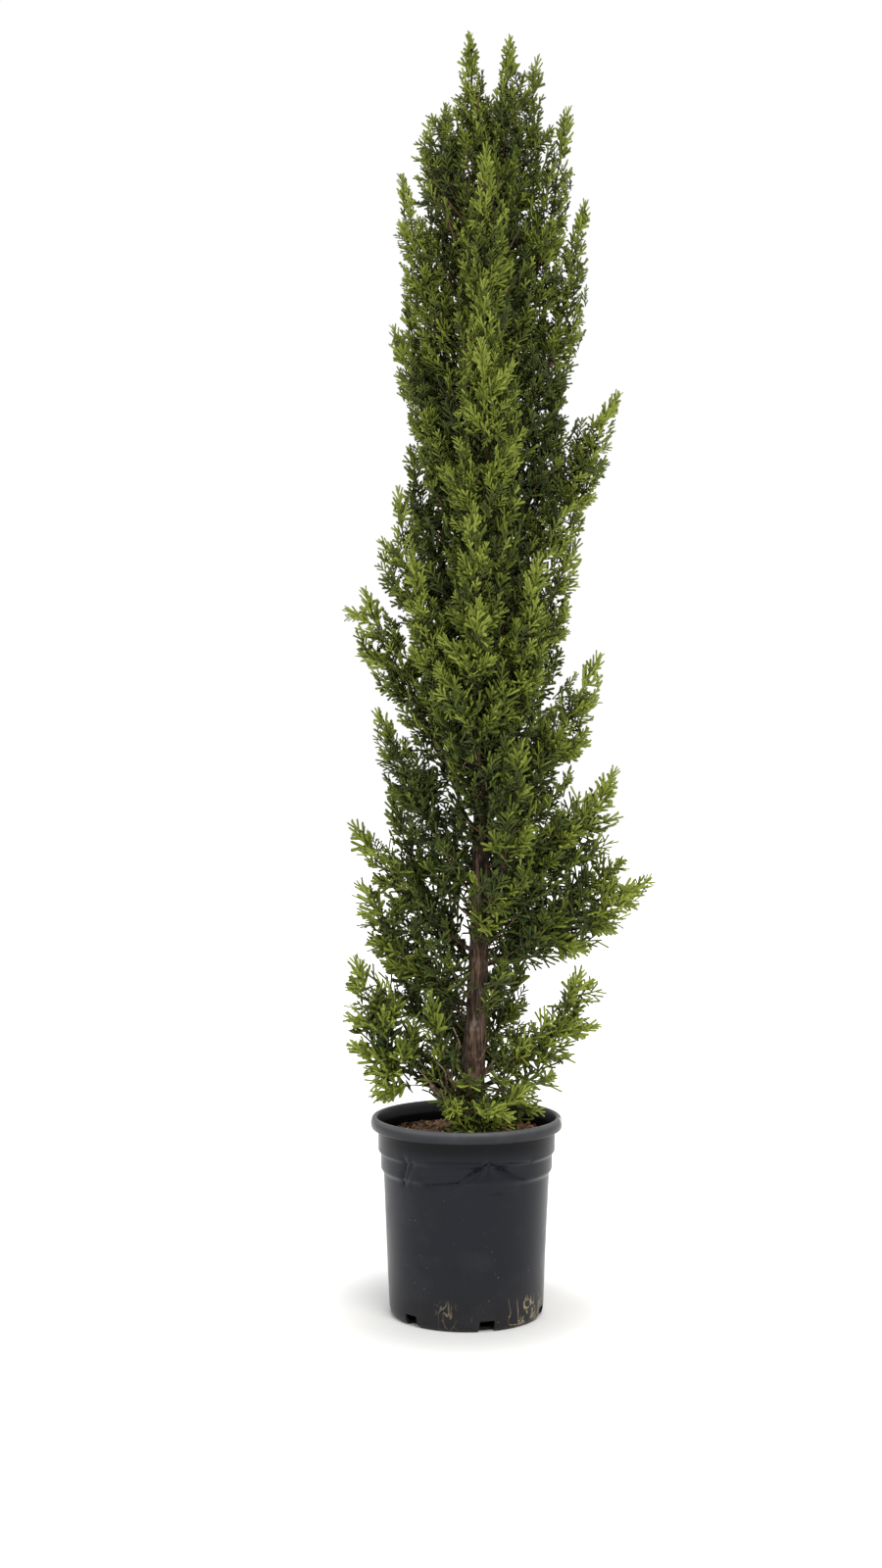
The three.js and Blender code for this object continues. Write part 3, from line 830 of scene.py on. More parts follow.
def plume_stems(plume):
    """The stems of a plume: paths from the trunk to each of its tips, the longest first."""
    corners = node_points(plume)
    if plume in BOUGHS:
        limb = node_points(BOUGHS[plume])
        centre = trunk_centres(limb[:, 2])
        out = norm(limb - centre, axis=1)
        foot = limb[out <= np.quantile(out, 0.3)].mean(0)
        base = limb[out >= np.quantile(out, 0.7)].mean(0)
        start, _ = trunk_at(foot[2] - 0.4 * norm(foot - centre.mean(0)))
        lead = [start, foot, base]
    else:
        base = corners[corners[:, 2] < corners[:, 2].min() + 0.02].mean(0)
        lead = [trunk_at(corners[:, 2].min() - 0.02)[0]]
    tips = plume_tips(corners, base)
    skin = surface_sample(plume, 900)
    chord = tips[0] - base
    share = (skin - base) @ chord / (chord @ chord)
    middle = []
    for low, high in ((0.15, 0.35), (0.35, 0.55), (0.55, 0.75)):
        slab = skin[(share > low) & (share < high)]
        if len(slab) > 12:
            middle.append(slab.mean(0))
    main = smooth_path([*lead, *middle, tips[0]], 26)
    stems = [main]
    for tip in tips[1:]:
        apart = norm(main - tip, axis=1)
        near = int(apart.argmin())
        back = apart.min() / tan(FORK_ANGLE)
        leave = int(max(2, near - back / norm(main[1] - main[0])))
        if near - leave < 2 or apart.min() < 0.012:
            continue
        bend = main[leave] + unit(main[leave] - main[leave - 1]) * 0.35 * apart[leave]
        way = [main[leave], 0.5 * bend + 0.25 * (main[leave] + tip), tip]
        stems.append(smooth_path(way, 14))
    return stems


def join_tubes(tubes):
    """Several tubes as one list of corners and faces."""
    points, faces, count = [], [], 0
    for corners, rings in tubes:
        points.append(corners)
        faces.extend(tuple(i + count for i in face) for face in rings)
        count += len(corners)
    return np.concatenate(points), faces


stems_of = {plume: plume_stems(plume) for plume in PLUMES}
limbs = []
for plume in PLUMES:
    for rank, path in enumerate(stems_of[plume]):
        length = norm(np.diff(path, axis=0), axis=1).sum()
        thick = min(0.0042, 0.0015 + 0.0075 * length) * (1.0 if rank == 0 else 0.6)
        dense = smooth_path(path[::3], int(1.5 * len(path)))
        fade = np.linspace(0.0, 1.0, len(dense))
        wander = np.array([noise.noise_vector(Vector(p * 24.0))[:] for p in dense]) * LIMB_WANDER
        wander *= np.minimum(1.0, 6.0 * fade)[:, None]
        collar = 1.0 + COLLAR_SWELL * np.exp(-fade * length / COLLAR_REACH)
        radii = thick * (1.0 - 0.84 * fade ** 0.8) * collar
        limbs.append(tube(dense + wander, radii, LIMB_SIDES))
limb_bark = bark_material("limb_bark", (0.016, 0.009, 0.006), (0.115, 0.062, 0.036), 260.0)
limb_piece = mesh_object("limbs_bark", *join_tubes(limbs), [limb_bark], smooth=True)
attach(limb_piece, "root")
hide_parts(*sorted(BOUGHS.values()))

# --- Bare twigs -----------------------
# Short stubs and leafless, sun-bleached twigs low on the trunk, dry and
# crooked, still fast in the bark where their lower branches were.

# where each leaves the trunk, where it ends, and its radius there, in millimetres
BARE_TWIGS = [
    ((-10, -12, 298), (-50, -30, 336), 7.5), ((-20, -8, 312), (-46, -16, 350), 5.0),
    ((-6, -20, 326), (-34, -62, 396), 1.9), ((-4, -22, 344), (-20, -58, 424), 1.5),
    ((10, -14, 372), (34, -44, 396), 1.4), ((-14, -24, 306), (-66, -62, 362), 2.1),
    ((-12, -26, 300), (-52, -74, 344), 1.9), ((4, 14, 350), (26, 40, 384), 1.6),
    ((-8, -24, 316), (-46, -64, 378), 1.7), ((8, -20, 330), (40, -56, 378), 1.6),
    ((-10, -26, 322), (-28, -72, 366), 1.7), ((-16, -20, 330), (-60, -50, 392), 1.6),
    ((-12, -24, 310), (-38, -78, 352), 1.5), ((-14, -10, 318), (-70, -34, 372), 2.4),
    ((-10, -16, 304), (-64, -30, 330), 2.0), ((-18, -8, 334), (-56, -28, 408), 1.8),
]
BARE_RINGS, BARE_SIDES, BARE_WILD, BARE_SAG = 12, 7, 0.012, (0, 0, -0.008)
bare = []
for foot, tip, girth in BARE_TWIGS:
    foot, tip = np.array(foot) * MM, np.array(tip) * MM
    wild = np.array(noise.noise_vector(Vector(tip * 60.0))) * BARE_WILD
    way = [foot, 0.6 * foot + 0.4 * tip + wild + BARE_SAG, 0.3 * foot + 0.7 * tip - wild, tip]
    knots = 1 + 0.15 * np.sin(np.arange(BARE_RINGS) * 1.9)
    radii = girth * MM * np.linspace(1.0, 0.6, BARE_RINGS) * knots
    bare.append(tube(smooth_path(way, BARE_RINGS), radii, BARE_SIDES))
bare_bark = bark_material("bare_bark", (0.070, 0.045, 0.032), (0.330, 0.225, 0.160), 240.0)
bare_piece = mesh_object("bare_twigs", *join_tubes(bare), [bare_bark], smooth=True)
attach(bare_piece, "root")

# --- Kinds of spray -------------------
# Cords of tiny scale leaves, blunt and a little clubbed, stand in two ranks
# on flat sprays. A few kinds are grown here, and stood by the crown's twigs.

# five tints of one leaf, a ladder from painted shade to painted light: the dark ones stand for
# shade inside the crown, the light ones for lit outer growth and fresh tips
LEAF_TINTS = [
    ("leaf_shade", (0.050, 0.066, 0.022)), ("leaf_deep", (0.070, 0.091, 0.021)),
    ("leaf_mid", (0.100, 0.128, 0.020)), ("leaf_fresh", (0.162, 0.200, 0.029)),
    ("leaf_tip", (0.245, 0.288, 0.048)),
]
SPRAY_LENGTH, FINGER_LENGTH, CORD_RADIUS = 0.050, 0.020, 0.00205
END_CORD, SIDE_CORD = 0.0135, 0.0110
# how many kinds there are of each manner: flat sprays, and young fingers and shoots
MANNERS = {"close": 7, "open": 5, "inner": 3, "finger": 3, "shoot": 1}
# for each manner of spray, its cords, those that fork, and how thick and long they grow
SPRAY_RULES = {"close": (8, (1, 2, 4), 1.0, 1.0), "open": (6, (0, 1, 2, 3, 4), 0.80, 1.3),
               "inner": (6, (0, 2), 1.7, 1.2)}
OPEN_FORKS = ((0.34, 1, 0.56), (0.58, -1, 0.46))


def cord(parts, start, ahead, face, length, radius, light, blunt=True, club=0.98):
    """One leafy cord, a three-sided club: nine triangles if blunt, six if pointed at both ends."""
    points, faces, lift = parts
    side = np.cross(ahead, face)
    count = len(points)
    for share, swell in ((0.0, 0.80), (0.91, club)) if blunt else ((0.62, 1.15),):
        for k in range(3):
            turn = k * 2 * pi / 3 + 0.5
            out = cos(turn) * side + sin(turn) * face * 0.8
            points.append(start + ahead * length * share + out * swell * radius)
    points.append(start + ahead * length)
    if not blunt:
        points.append(start)
    for k in range(3):
        n = (k + 1) % 3
        if blunt:
            faces.append((count + k, count + n, count + 3 + n, count + 3 + k))
            faces.append((count + 3 + k, count + 3 + n, count + 6))
        else:
            faces.append((count + k, count + n, count + 3))
            faces.append((count + n, count + k, count + 4))
        lift.extend((light, light))


def spray_kind(parts, draw, manner, hand):
    """A flat spray along +Z, facing +X, with its tip at the origin and its foot curving back."""
    points, faces, lift = parts
    cords, forked, thick, long = SPRAY_RULES[manner]
    inner, loose, radius = manner == "inner", manner == "open", CORD_RADIUS * thick
    steps = np.linspace(0.0, 1.0, 2 if inner else 3)
    sway = draw.uniform(-0.14, 0.14) * (steps ** 2 - steps)
    line = np.stack([-0.34 * (1 - steps) ** 2, sway, steps - 1.0], axis=1) * SPRAY_LENGTH
    corners, rings = tube(line, np.linspace(0.0016, 0.0011, len(steps)), 3)
    points.extend(corners)
    faces.extend(rings)
    lift.extend([0] * len(rings))
    for k in range(cords):
        share = 0.04 + 0.76 * (k + draw.uniform(-0.2, 0.2)) / (cords - 1)
        at = along(line, steps, share)
        hand = -hand
        lean = radians(draw.uniform(32, 46) - 7 * share)
        rise = draw.uniform(-0.25, 0.25) * (2.4 if inner else 1.0)
        course = unit(np.array([0.68 * (1 - share), 0.0, 1.0]))
        face = np.array([course[2], 0.0, -course[0]])
        aside = np.array([0.0, hand * sin(lean), 0.0])
        ahead = unit(course * cos(lean) + aside + face * rise)
        face = unit(face - ahead * (ahead @ face))
        length = (0.0240 - 0.0110 * share) * draw.uniform(0.80, 1.15) * long
        # painted light and shade on each cord: darker at the spray's foot and lighter towards its
        # tip, with a random step up or down
        light = int(share > 0.5) - int(share < 0.28) + int(draw.choice((-1, 0, 0, 1)))
        cord(parts, at, ahead, face, length, radius, light, not inner)
        if k not in forked:
            continue
        forks = OPEN_FORKS[:2 if k < 3 else 1] if loose else (
            (draw.uniform(0.35, 0.5), 1 if k % 3 else -1, 0.62),)
        for start, way, part in forks:
            swing = radians(draw.uniform(30, 44)) * hand * way
            away = ahead * cos(swing) - np.cross(face, ahead) * sin(swing)
            tone = light + int(draw.choice((0, 0, 1)))
            cord(parts, at + ahead * length * start, away, face, length * part, radius, tone,
                 not inner)
    ahead = unit(line[-1] - line[-2])
    face = unit(np.array([1.0, 0.0, 0.0]) - ahead * ahead[0])
    cord(parts, line[-1] - ahead * END_CORD, ahead, face, END_CORD, radius, 1, not inner)


def finger_kind(parts, draw, manner):
    """A young shoot along +Z, its tip at the origin: one cord, with two more on a finger."""
    face = np.array([1.0, 0.0, 0.0])
    cord(parts, -UP * FINGER_LENGTH, UP, face, FINGER_LENGTH, CORD_RADIUS, 1, club=0.78)
    sides = ((1.0, draw.uniform(0.10, 0.25)), (-1.0, draw.uniform(0.30, 0.45)))
    for hand, share in sides if manner == "finger" else ():
        lean = radians(draw.uniform(28, 40))
        ahead = unit(np.array([draw.uniform(-0.3, 0.3), hand * sin(lean), cos(lean)]))
        start = UP * FINGER_LENGTH * (share - 1.0)
        cord(parts, start, ahead, unit(face - ahead * ahead[0]), SIDE_CORD, CORD_RADIUS * 0.95, 1)


spray_kinds = bpy.data.collections.new("spray_kinds")
KIND_RANGE, first_kind = {}, 0
for manner, count in MANNERS.items():
    KIND_RANGE[manner] = (first_kind, count)
    for seed in range(first_kind, first_kind + count):
        parts, draw = ([], [], []), np.random.default_rng(900 + seed)
        if manner in SPRAY_RULES:
            spray_kind(parts, draw, manner, 1.0 if seed % 2 else -1.0)
        else:
            finger_kind(parts, draw, manner)
        kind = mesh_object(f"spray_kind_{seed:02d}", *parts[:2], smooth=True)
        bpy.context.scene.collection.objects.unlink(kind)
        kind.data.attributes.new("lift", "INT", "FACE").data.foreach_set("value", parts[2])
        spray_kinds.objects.link(kind)
    first_kind += count
leaf_materials = [principled(name, tint, 0.55, 0.12)[0] for name, tint in LEAF_TINTS]


def dress_tree():
    """Sprays stood on points by their axis, face, size, kind and tint."""
    tree, given, result = geometry_tree("dress_with_sprays", [
        ("Sprays", "Collection", None), ("Spray Scale", "Float", 1.0)])
    turn = add_node(tree, "FunctionNodeAxesToRotation", {
        "Primary Axis": named(tree, "axis", "FLOAT_VECTOR"),
        "Secondary Axis": named(tree, "face", "FLOAT_VECTOR"),
    }, primary_axis="Z", secondary_axis="X")
    leaves = stood_on_points(given, "Sprays", turn, "Spray Scale")
    # each face's tint: the spray's painted light and shade, with the cord's painted light and shade
    # on top
    tint = maths("ADD", named(tree, "tint", "INT"), named(tree, "lift", "INT"))
    wire(painted(leaves, tint, leaf_materials), result, "Geometry")
    return tree


dress = dress_tree()

# --- Foliage masses -------------------
# Twigs rise from each limb, fork, and end in leafy sprays that lie along the
# mass's skin. A layer under it, painted darker as shade, shuts off most of the view through.

# painted light and shade by mass: those painted lighter as if they catch more light, and those
# painted darker as if they stand in shade
PAINTED_LIGHT_BY_MASS = {
    "top_leader": 0.5, "top_front": 0.3, "top_left": 0.4, "upper_front": 0.2,
    "middle_front_crest": 0.3, "middle_front_left": 0.5, "middle_far_left": 0.8,
    "middle_right_spur": 0.5, "middle_right": 0.5, "lower_right_edge": 1.5,
    "lower_right_spur": 1.3, "lower_far_right": 1.5, "skirt_right": 1.3, "lower_far_left": 0.2,
    "skirt_left": 0.4, "skirt_left_inner": 0.4, "skirt_front": 0.3, "lower_left_edge": -0.2,
}
# small hollows where the crown stands open: the middle of each and how far it reaches
HOLLOWS = [
    ((108, -8, 462), 38), ((-104, -6, 1308), 30), ((186, -4, 1468), 24), ((-132, 0, 826), 16),
    ((-154, 0, 556), 18), ((-30, -64, 358), 27), ((-18, -60, 392), 20),
]
# painted shade and painted light on the foliage: the middle of each place, how far it
# fades, and by how much it is painted darker (below nought) or lighter
PAINTED_PATCHES = [
    ((-15, -30, 768), 110, -2.0), ((80, -20, 1060), 48, -0.9), ((-48, 0, 1640), 50, -0.8),
    ((-62, -10, 1335), 60, -1.0), ((70, -30, 1450), 45, -0.9), ((-75, 0, 590), 60, -0.8),
    ((-62, -50, 645), 32, 1.0), ((14, -60, 578), 24, 1.4), ((0, -90, 1330), 45, 0.4),
    ((0, 10, 520), 70, -0.8),
]
# the heights where the trunk shows between the boughs on its front, and how near the line
BARE_SPANS, BARE_HALF, BARE_SHARE = ((0.40, 0.555), (0.605, 0.79)), 0.018, 0.7
LEVELS, SECTORS = 48, 24
LEADER_SPACING, SPRAY_SPACING = 0.038, 0.0166
UNDER_SPACING, UNDER_DEPTH = 0.0190, 0.018
INNER_STEP, FOOT_SHARE = 0.0110, 0.92
LONG_TWIG, SHORT_REACH, UNDER_REACH = 0.030, 0.026, 0.030
OPEN_SKIP, OPEN_SIZE = 0.14, 1.14
SHADE_BASE, SHADE_DEPTH, SHADE_SPREAD = 2.10, 0.055, 0.75
# a stem's end is young: its last stretch bears fingers, and the very last of it shoots
YOUNG_STRETCH, SHOOT_SHARE, STEM_END = 0.065, 0.45, 0.008
SHOOT_STEP, FINGER_STEP = 0.0036, 0.0044
INNER_ROOM, INNER_LONGEST = 0.040, 0.060
TWIG_FOOT, TWIG_END = 0.0017, 0.0011
GOLDEN, ANY_TURN = radians(137.5), 6.28


def crown_reach():
    """How far the crown reaches from its trunk, by height and direction."""
    reach = np.zeros((LEVELS, SECTORS))
    for plume in PLUMES:
        skin = surface_sample(plume, 500)
        out = skin - trunk_centres(skin[:, 2])
        level = np.clip((skin[:, 2] / cad_box[1].z * LEVELS).astype(int), 0, LEVELS - 1)
        turn = np.arctan2(out[:, 1], out[:, 0]) / (2 * pi) + 1.0
        sector = (turn * SECTORS).astype(int) % SECTORS
        np.maximum.at(reach, (level, sector), np.hypot(out[:, 0], out[:, 1]))
    spread = [np.roll(reach, shift, axis=1) for shift in (-1, 0, 1)]
    return np.maximum.reduce([np.roll(s, k, axis=0) for s in spread for k in (-1, 0, 1)])


REACH = crown_reach()


def crown_edge(point):
    """How far the crown reaches at a point's height and direction, and how far out the point is."""
    centre = trunk_at(point[2])[0]
    level = min(LEVELS - 1, max(0, int(point[2] / cad_box[1].z * LEVELS)))
    turn = atan2(point[1] - centre.y, point[0] - centre.x) / (2 * pi) + 1.0
    out = hypot(point[0] - centre.x, point[1] - centre.y)
    return REACH[level, int(turn * SECTORS) % SECTORS], out


def thinned(points, spacing, draw, taken=()):
    """Indices of points so chosen that no two stand closer than a spacing."""
    held = np.empty((len(points) + len(taken), 3))
    held[:len(taken)] = np.reshape(taken, (-1, 3))
    count, kept = len(taken), []
    for k in draw.permutation(len(points)):
        if count and np.min(np.sum((held[:count] - points[k]) ** 2, axis=1)) < spacing ** 2:
            continue
        held[count] = points[k]
        count += 1
        kept.append(k)
    return kept


def node_hull(node):
    """A CAD node's faces, ready for the nearest place and for rays."""
    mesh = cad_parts[node].data
    return BVHTree.FromPolygons([v.co for v in mesh.vertices], [p.vertices for p in mesh.polygons])


hulls = {plume: node_hull(plume) for plume in PLUMES}


def inside_crown(point):
    """Whether a point lies inside one of the foliage masses."""
    for hull in hulls.values():
        near, normal, _, _ = hull.find_nearest(point, 0.08)
        if near is not None and (point - near).dot(normal) < 0.0:
            return True
    return False


def vigour(height):
    """How large the sprays and cords grow at a height: coarse low down and fine near the top."""
    return float(np.interp(height, (0.45, 0.85, 1.30, 1.75), (1.16, 1.04, 0.92, 0.85)))


def place_spray(sprays, draw, tip, axis, size, lighter, kind="close", outward=None):
    """Notes one spray: its tip, the way it points, its size, its kind and its tint."""
    edge, out = crown_edge(tip)
    if kind == "inner" and not inside_crown(Vector(tip)):
        return
    if any(dist(tip, np.array(middle) * MM) < reach * MM for middle, reach in HOLLOWS):
        return
    bared = any(low < tip[2] < high for low, high in BARE_SPANS) and tip[1] < -0.01
    if bared and abs(tip[0] - trunk_at(tip[2])[0].x) < BARE_HALF and draw.random() < BARE_SHARE:
        return
    if kind == "close" and draw.random() < np.interp(tip[2], (0.62, 0.95), (0.92, 0.0)):
        if draw.random() < OPEN_SKIP:
            return
        kind, size = "open", size * OPEN_SIZE
    size *= vigour(tip[2])
    # the tint: painted shade deeper in from the crown's edge, painted light and shade by mass and
    # by patch, a broad random mottle and a random step
    patch = noise.noise(Vector(tip) * 11.0)
    shade = SHADE_BASE - (edge - out) / SHADE_DEPTH + 0.8 * lighter + 0.6 * patch
    shade += draw.normal(0.0, SHADE_SPREAD)
    for middle, reach, lift in PAINTED_PATCHES:
        shade += lift * exp(-(dist(tip, np.array(middle) * MM) / (reach * MM)) ** 2)
    first, count = KIND_RANGE[kind]
    face = draw.normal(0.0, 1.0, 3)
    if outward is not None:
        face = unit(outward) + (0.35 if kind == "open" else 0.55) * face
    face = unit(face - axis * (face @ axis))
    tint = int(np.clip(round(shade), 0, 3))
    sprays.append((tip, axis, face, size, first + int(draw.integers(count)), tint))


def station(path, run, at, look):
    """The place at a distance along a path, and the way it heads there."""
    place = along(path, run, at)
    return place, unit(along(path, run, at + look) - place)


def leafy_piece(sprays, name):
    """One joined mesh of a mass's sprays."""
    tips, *values = zip(*sprays)
    layers = zip(("axis", "face", "size", "kind", "tint"),
                 ("FLOAT_VECTOR", "FLOAT_VECTOR", "FLOAT", "INT", "INT"), values)
    leaves = grown(point_cloud(f"points_{name}", tips, layers), dress,
                   {"Sprays": spray_kinds, "Spray Scale": 1.0}, name)
    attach(leaves, "root")
    return leaves


def around(heading, turn):
    """A direction square to a heading, at a turn about it."""
    first = np.array(Vector(heading).orthogonal().normalized())
    return first * cos(turn) + np.cross(heading, first) * sin(turn)


def leant(heading, outward, lean):
    """A heading leant outward by an angle."""
    return heading * cos(lean) + outward * sin(lean)


def best_bone(target, bones, ways, penalty):
    """Where a twig to a target would leave a skeleton: the place, the way the skeleton heads
    there, the way to the target, and how far off it is."""
    gap = target - bones
    far = norm(gap, axis=1) + 1e-9
    cosine = np.sum(gap * ways, axis=1) / far
    pick = int((far * (1.0 + 2.2 * np.abs(cosine - 0.80)) * penalty).argmin())
    start, heading = bones[pick], ways[pick]
    return start, heading, unit(target - start), far[pick]


def spray_size(far, least, most):
    """The size of a spray that reaches a distance, between two bounds."""
    return float(np.clip(far / SPRAY_LENGTH, least, most))


def stem_sprays(put, draw, stem, at, turn, hull, bright, fine):
    """Inner sprays along a stem, then young fingers and shoots; gives the turn of the last."""
    run = length_along(stem)
    while at < run[-1] - STEM_END:
        place, heading = station(stem, run, at, 0.01)
        left = run[-1] - at
        young = min(1.0, left / YOUNG_STRETCH)
        lean = draw.uniform(34, 52) if young == 1.0 else 21 + 13 * young + draw.uniform(-4, 4)
        axis = unit(leant(heading, around(heading, turn), radians(lean)))
        if young < 1.0:
            size = draw.uniform(0.50, 0.64) + 1.15 * young
            tip = place + axis * min(FINGER_LENGTH * size * fine, left + 0.002)
            kind, step = ("shoot", SHOOT_STEP) if young < SHOOT_SHARE else ("finger", FINGER_STEP)
            put(tip, axis, size, bright + 0.6, kind)
            at += step * fine
        else:
            hit, _, _, room = hull.ray_cast(Vector(place), Vector(axis))
            room = room if hit is not None else INNER_ROOM
            long = min(room * 0.8, INNER_LONGEST) * draw.uniform(0.7, 1.0)
            size = spray_size(long, 0.6, 1.2)
            tip = place + axis * max(long, SPRAY_LENGTH * size)
            # inner sprays along the stem are painted darker, as painted shade
            put(tip, axis, size, bright - 0.7, "inner")
            at += INNER_STEP * draw.uniform(0.8, 1.2)
        turn += GOLDEN + draw.normal(0.0, 0.2)
    put(stem[-1], unit(stem[-1] - stem[-3]), 0.8, bright + 0.8, "shoot")
    return turn


twigs = []
for number, plume in enumerate(PLUMES):
    draw = np.random.default_rng(3000 + number)
    # painted light and shade of the mass; masses at the back are painted darker as shade
    bright = PAINTED_LIGHT_BY_MASS.get(plume.replace("plume_", ""), -0.4 if "back" in plume else 0.0)
    sprays = []
    put = partial(place_spray, sprays, draw)

    # the skeleton that twigs may leave from: its places, and the way it heads at each
    bones, ways = [], []
    for stem in stems_of[plume]:
        run = length_along(stem)
        steps = np.linspace(0.10 * run[-1], 0.97 * run[-1], max(8, int(run[-1] / 0.006)))
        bones.append(along(stem, run, steps))
        ways.append(np.gradient(bones[-1], axis=0))
    penalty = [np.full(sum(map(len, bones)), 1.35)]

    # the first twigs, wide apart: long ones bow out of the skeleton and add to it
    skin = surface_sample(plume, 3600)
    fine = vigour(skin[:, 2].mean())
    leads = thinned(skin, LEADER_SPACING * fine, draw)
    stem_bones, stem_ways = np.concatenate(bones), units(np.concatenate(ways))
    for k in leads:
        target = skin[k] + draw.normal(0.0, 0.002, 3)
        start, heading, chord, far = best_bone(target, stem_bones, stem_ways, 1.0)
        axis = unit(chord + 1.1 * heading)
        size = spray_size(far, 0.6, 1.05) * draw.uniform(0.92, 1.08)
        put(target, axis, size, bright + 0.25, outward=chord - 0.6 * heading)
        if far > LONG_TWIG:
            foot = target - axis * SPRAY_LENGTH * size * fine * FOOT_SHARE
            bow = start + chord * 0.5 * far + unit(chord - heading * 0.9) * 0.10 * far
            way = [start, bow * 0.5 + 0.25 * (start + foot), foot]
            radii = np.linspace(TWIG_FOOT, TWIG_END, 6) * (0.75 + 5 * far)
            twigs.append((smooth_path(way, 6), radii))
            places = smooth_path([*way, target], 14)
            bones.append(places[3:])
            ways.append(np.gradient(places, axis=0)[3:])
            penalty.append(np.ones(len(places) - 3))
    no_twigs = len(penalty) == 1
    penalty = np.ones(len(stem_bones)) if no_twigs else np.concatenate(penalty)
    bones, ways = np.concatenate(bones), units(np.concatenate(ways))

    # sprays between them, close together over the skin
    for k in thinned(skin, SPRAY_SPACING * fine ** 2, draw, skin[leads]):
        target = skin[k] + draw.normal(0.0, 0.002, 3)
        start, heading, chord, far = best_bone(target, bones, ways, penalty)
        axis = unit(chord + draw.uniform(0.6, 1.5) * heading)
        size = spray_size(far, 0.62, 1.0) * draw.uniform(0.9, 1.08)
        if far < SHORT_REACH:
            put(target, axis, draw.uniform(0.9, 1.15), bright + 0.3, "finger")
            aside = target - axis * 0.009 + 0.006 * unit(draw.normal(0.0, 1.0, 3))
            put(aside, unit(axis + 0.4 * chord), 1.0, bright + 0.2, "finger")
            continue
        put(target, axis, size, bright, outward=chord - 0.6 * heading)
        if far > SPRAY_LENGTH * size * fine:
            foot = target - axis * SPRAY_LENGTH * size * fine * FOOT_SHARE
            way = [start, 0.5 * (start + foot) + heading * 0.04 * far, foot]
            twigs.append((smooth_path(way, 4), np.array([0.0014, 0.0013, 0.0012, 0.0011])))

    # the layer under the skin, painted darker as shade, coarse and close
    for k in thinned(skin, UNDER_SPACING * fine ** 2, draw):
        start, heading, chord, far = best_bone(skin[k], bones, ways, penalty)
        if far < UNDER_REACH or draw.random() > np.interp(skin[k][2], (0.60, 0.95), (0.20, 1.0)):
            continue
        target = skin[k] - chord * min(UNDER_DEPTH, 0.45 * far)
        axis = unit(chord + draw.uniform(0.4, 1.6) * heading)
        size = spray_size(far, 0.6, 0.95) * draw.uniform(0.9, 1.1)
        put(target, axis, size, bright - 1.0, "inner", outward=chord - 0.6 * heading)

    turn = draw.random() * ANY_TURN
    for rank, stem in enumerate(stems_of[plume]):
        at = 0.030 if plume in BOUGHS and rank == 0 else 0.018
        turn = stem_sprays(put, draw, stem, at, turn, hulls[plume], bright, fine)
    leaves = leafy_piece(sprays, plume.replace("plume_", "sprays_"))
    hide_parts(plume)

# --- Heart of the crown ---------------
# Short shoots straight from the trunk, close and painted dim as shade, leave it in a
# spiral and fill the middle of the crown between its masses.

HEART_LOW, HEART_DENSE, HEART_HIGH = 0.690, 1.15, 1.720
HEART_TOP, HEART_STEP, HEART_DENSE_STEP = 1.76, 0.0085, 0.0058
draw = np.random.default_rng(77)
heart, turn, z = [], 0.0, HEART_LOW
put = partial(place_spray, heart, draw)
while z < HEART_HIGH:
    dense = z > HEART_DENSE
    start, girth = trunk_at(z)
    level = np.array([cos(turn), sin(turn), 0.0])
    start = np.array(start) + level * girth * 0.6
    edge, _ = crown_edge(start + level * 0.02)
    lean = radians(draw.uniform(38, 58))
    course = leant(level, UP, lean)
    length = min(0.80 * edge / cos(lean), 0.115) * draw.uniform(0.6, 1.0)
    end = start + course * length + UP * (0.12 * length)
    path = smooth_path([start, start + course * 0.5 * length, end], 8)
    tip_edge, tip_out = crown_edge(path[-1])
    if tip_out < 0.85 * tip_edge and path[-1][2] < HEART_TOP:
        twigs.append((path, np.linspace(0.0019, TWIG_END, 8)))
    run = length_along(path)
    side = draw.random() * ANY_TURN
    for at in np.arange(0.022, run[-1] - 0.006, 0.0125):
        place, heading = station(path, run, at, 0.006)
        axis = unit(leant(heading, around(heading, side), radians(draw.uniform(34, 54))))
        size = draw.uniform(0.7, 0.95)
        tip = place + axis * SPRAY_LENGTH * size
        edge, out = crown_edge(tip)
        if out < (0.86 if dense else 0.75) * edge and tip[2] < HEART_TOP + 0.01:
            # painted shade on the inner sprays, less of it high in the crown
            put(tip, axis, size, 0.2 if dense else -0.5, "inner")
        side += GOLDEN + draw.normal(0.0, 0.2)
    if tip_out < 0.75 * tip_edge and path[-1][2] < HEART_TOP - 0.02:
        course = unit(path[-1] - path[-2])
        put(path[-1] + course * 0.01, course, 0.95, -0.2)
    turn += GOLDEN + draw.normal(0.0, 0.15)
    z += HEART_STEP if z < HEART_DENSE else HEART_DENSE_STEP
leafy_piece(heart, "sprays_heart")
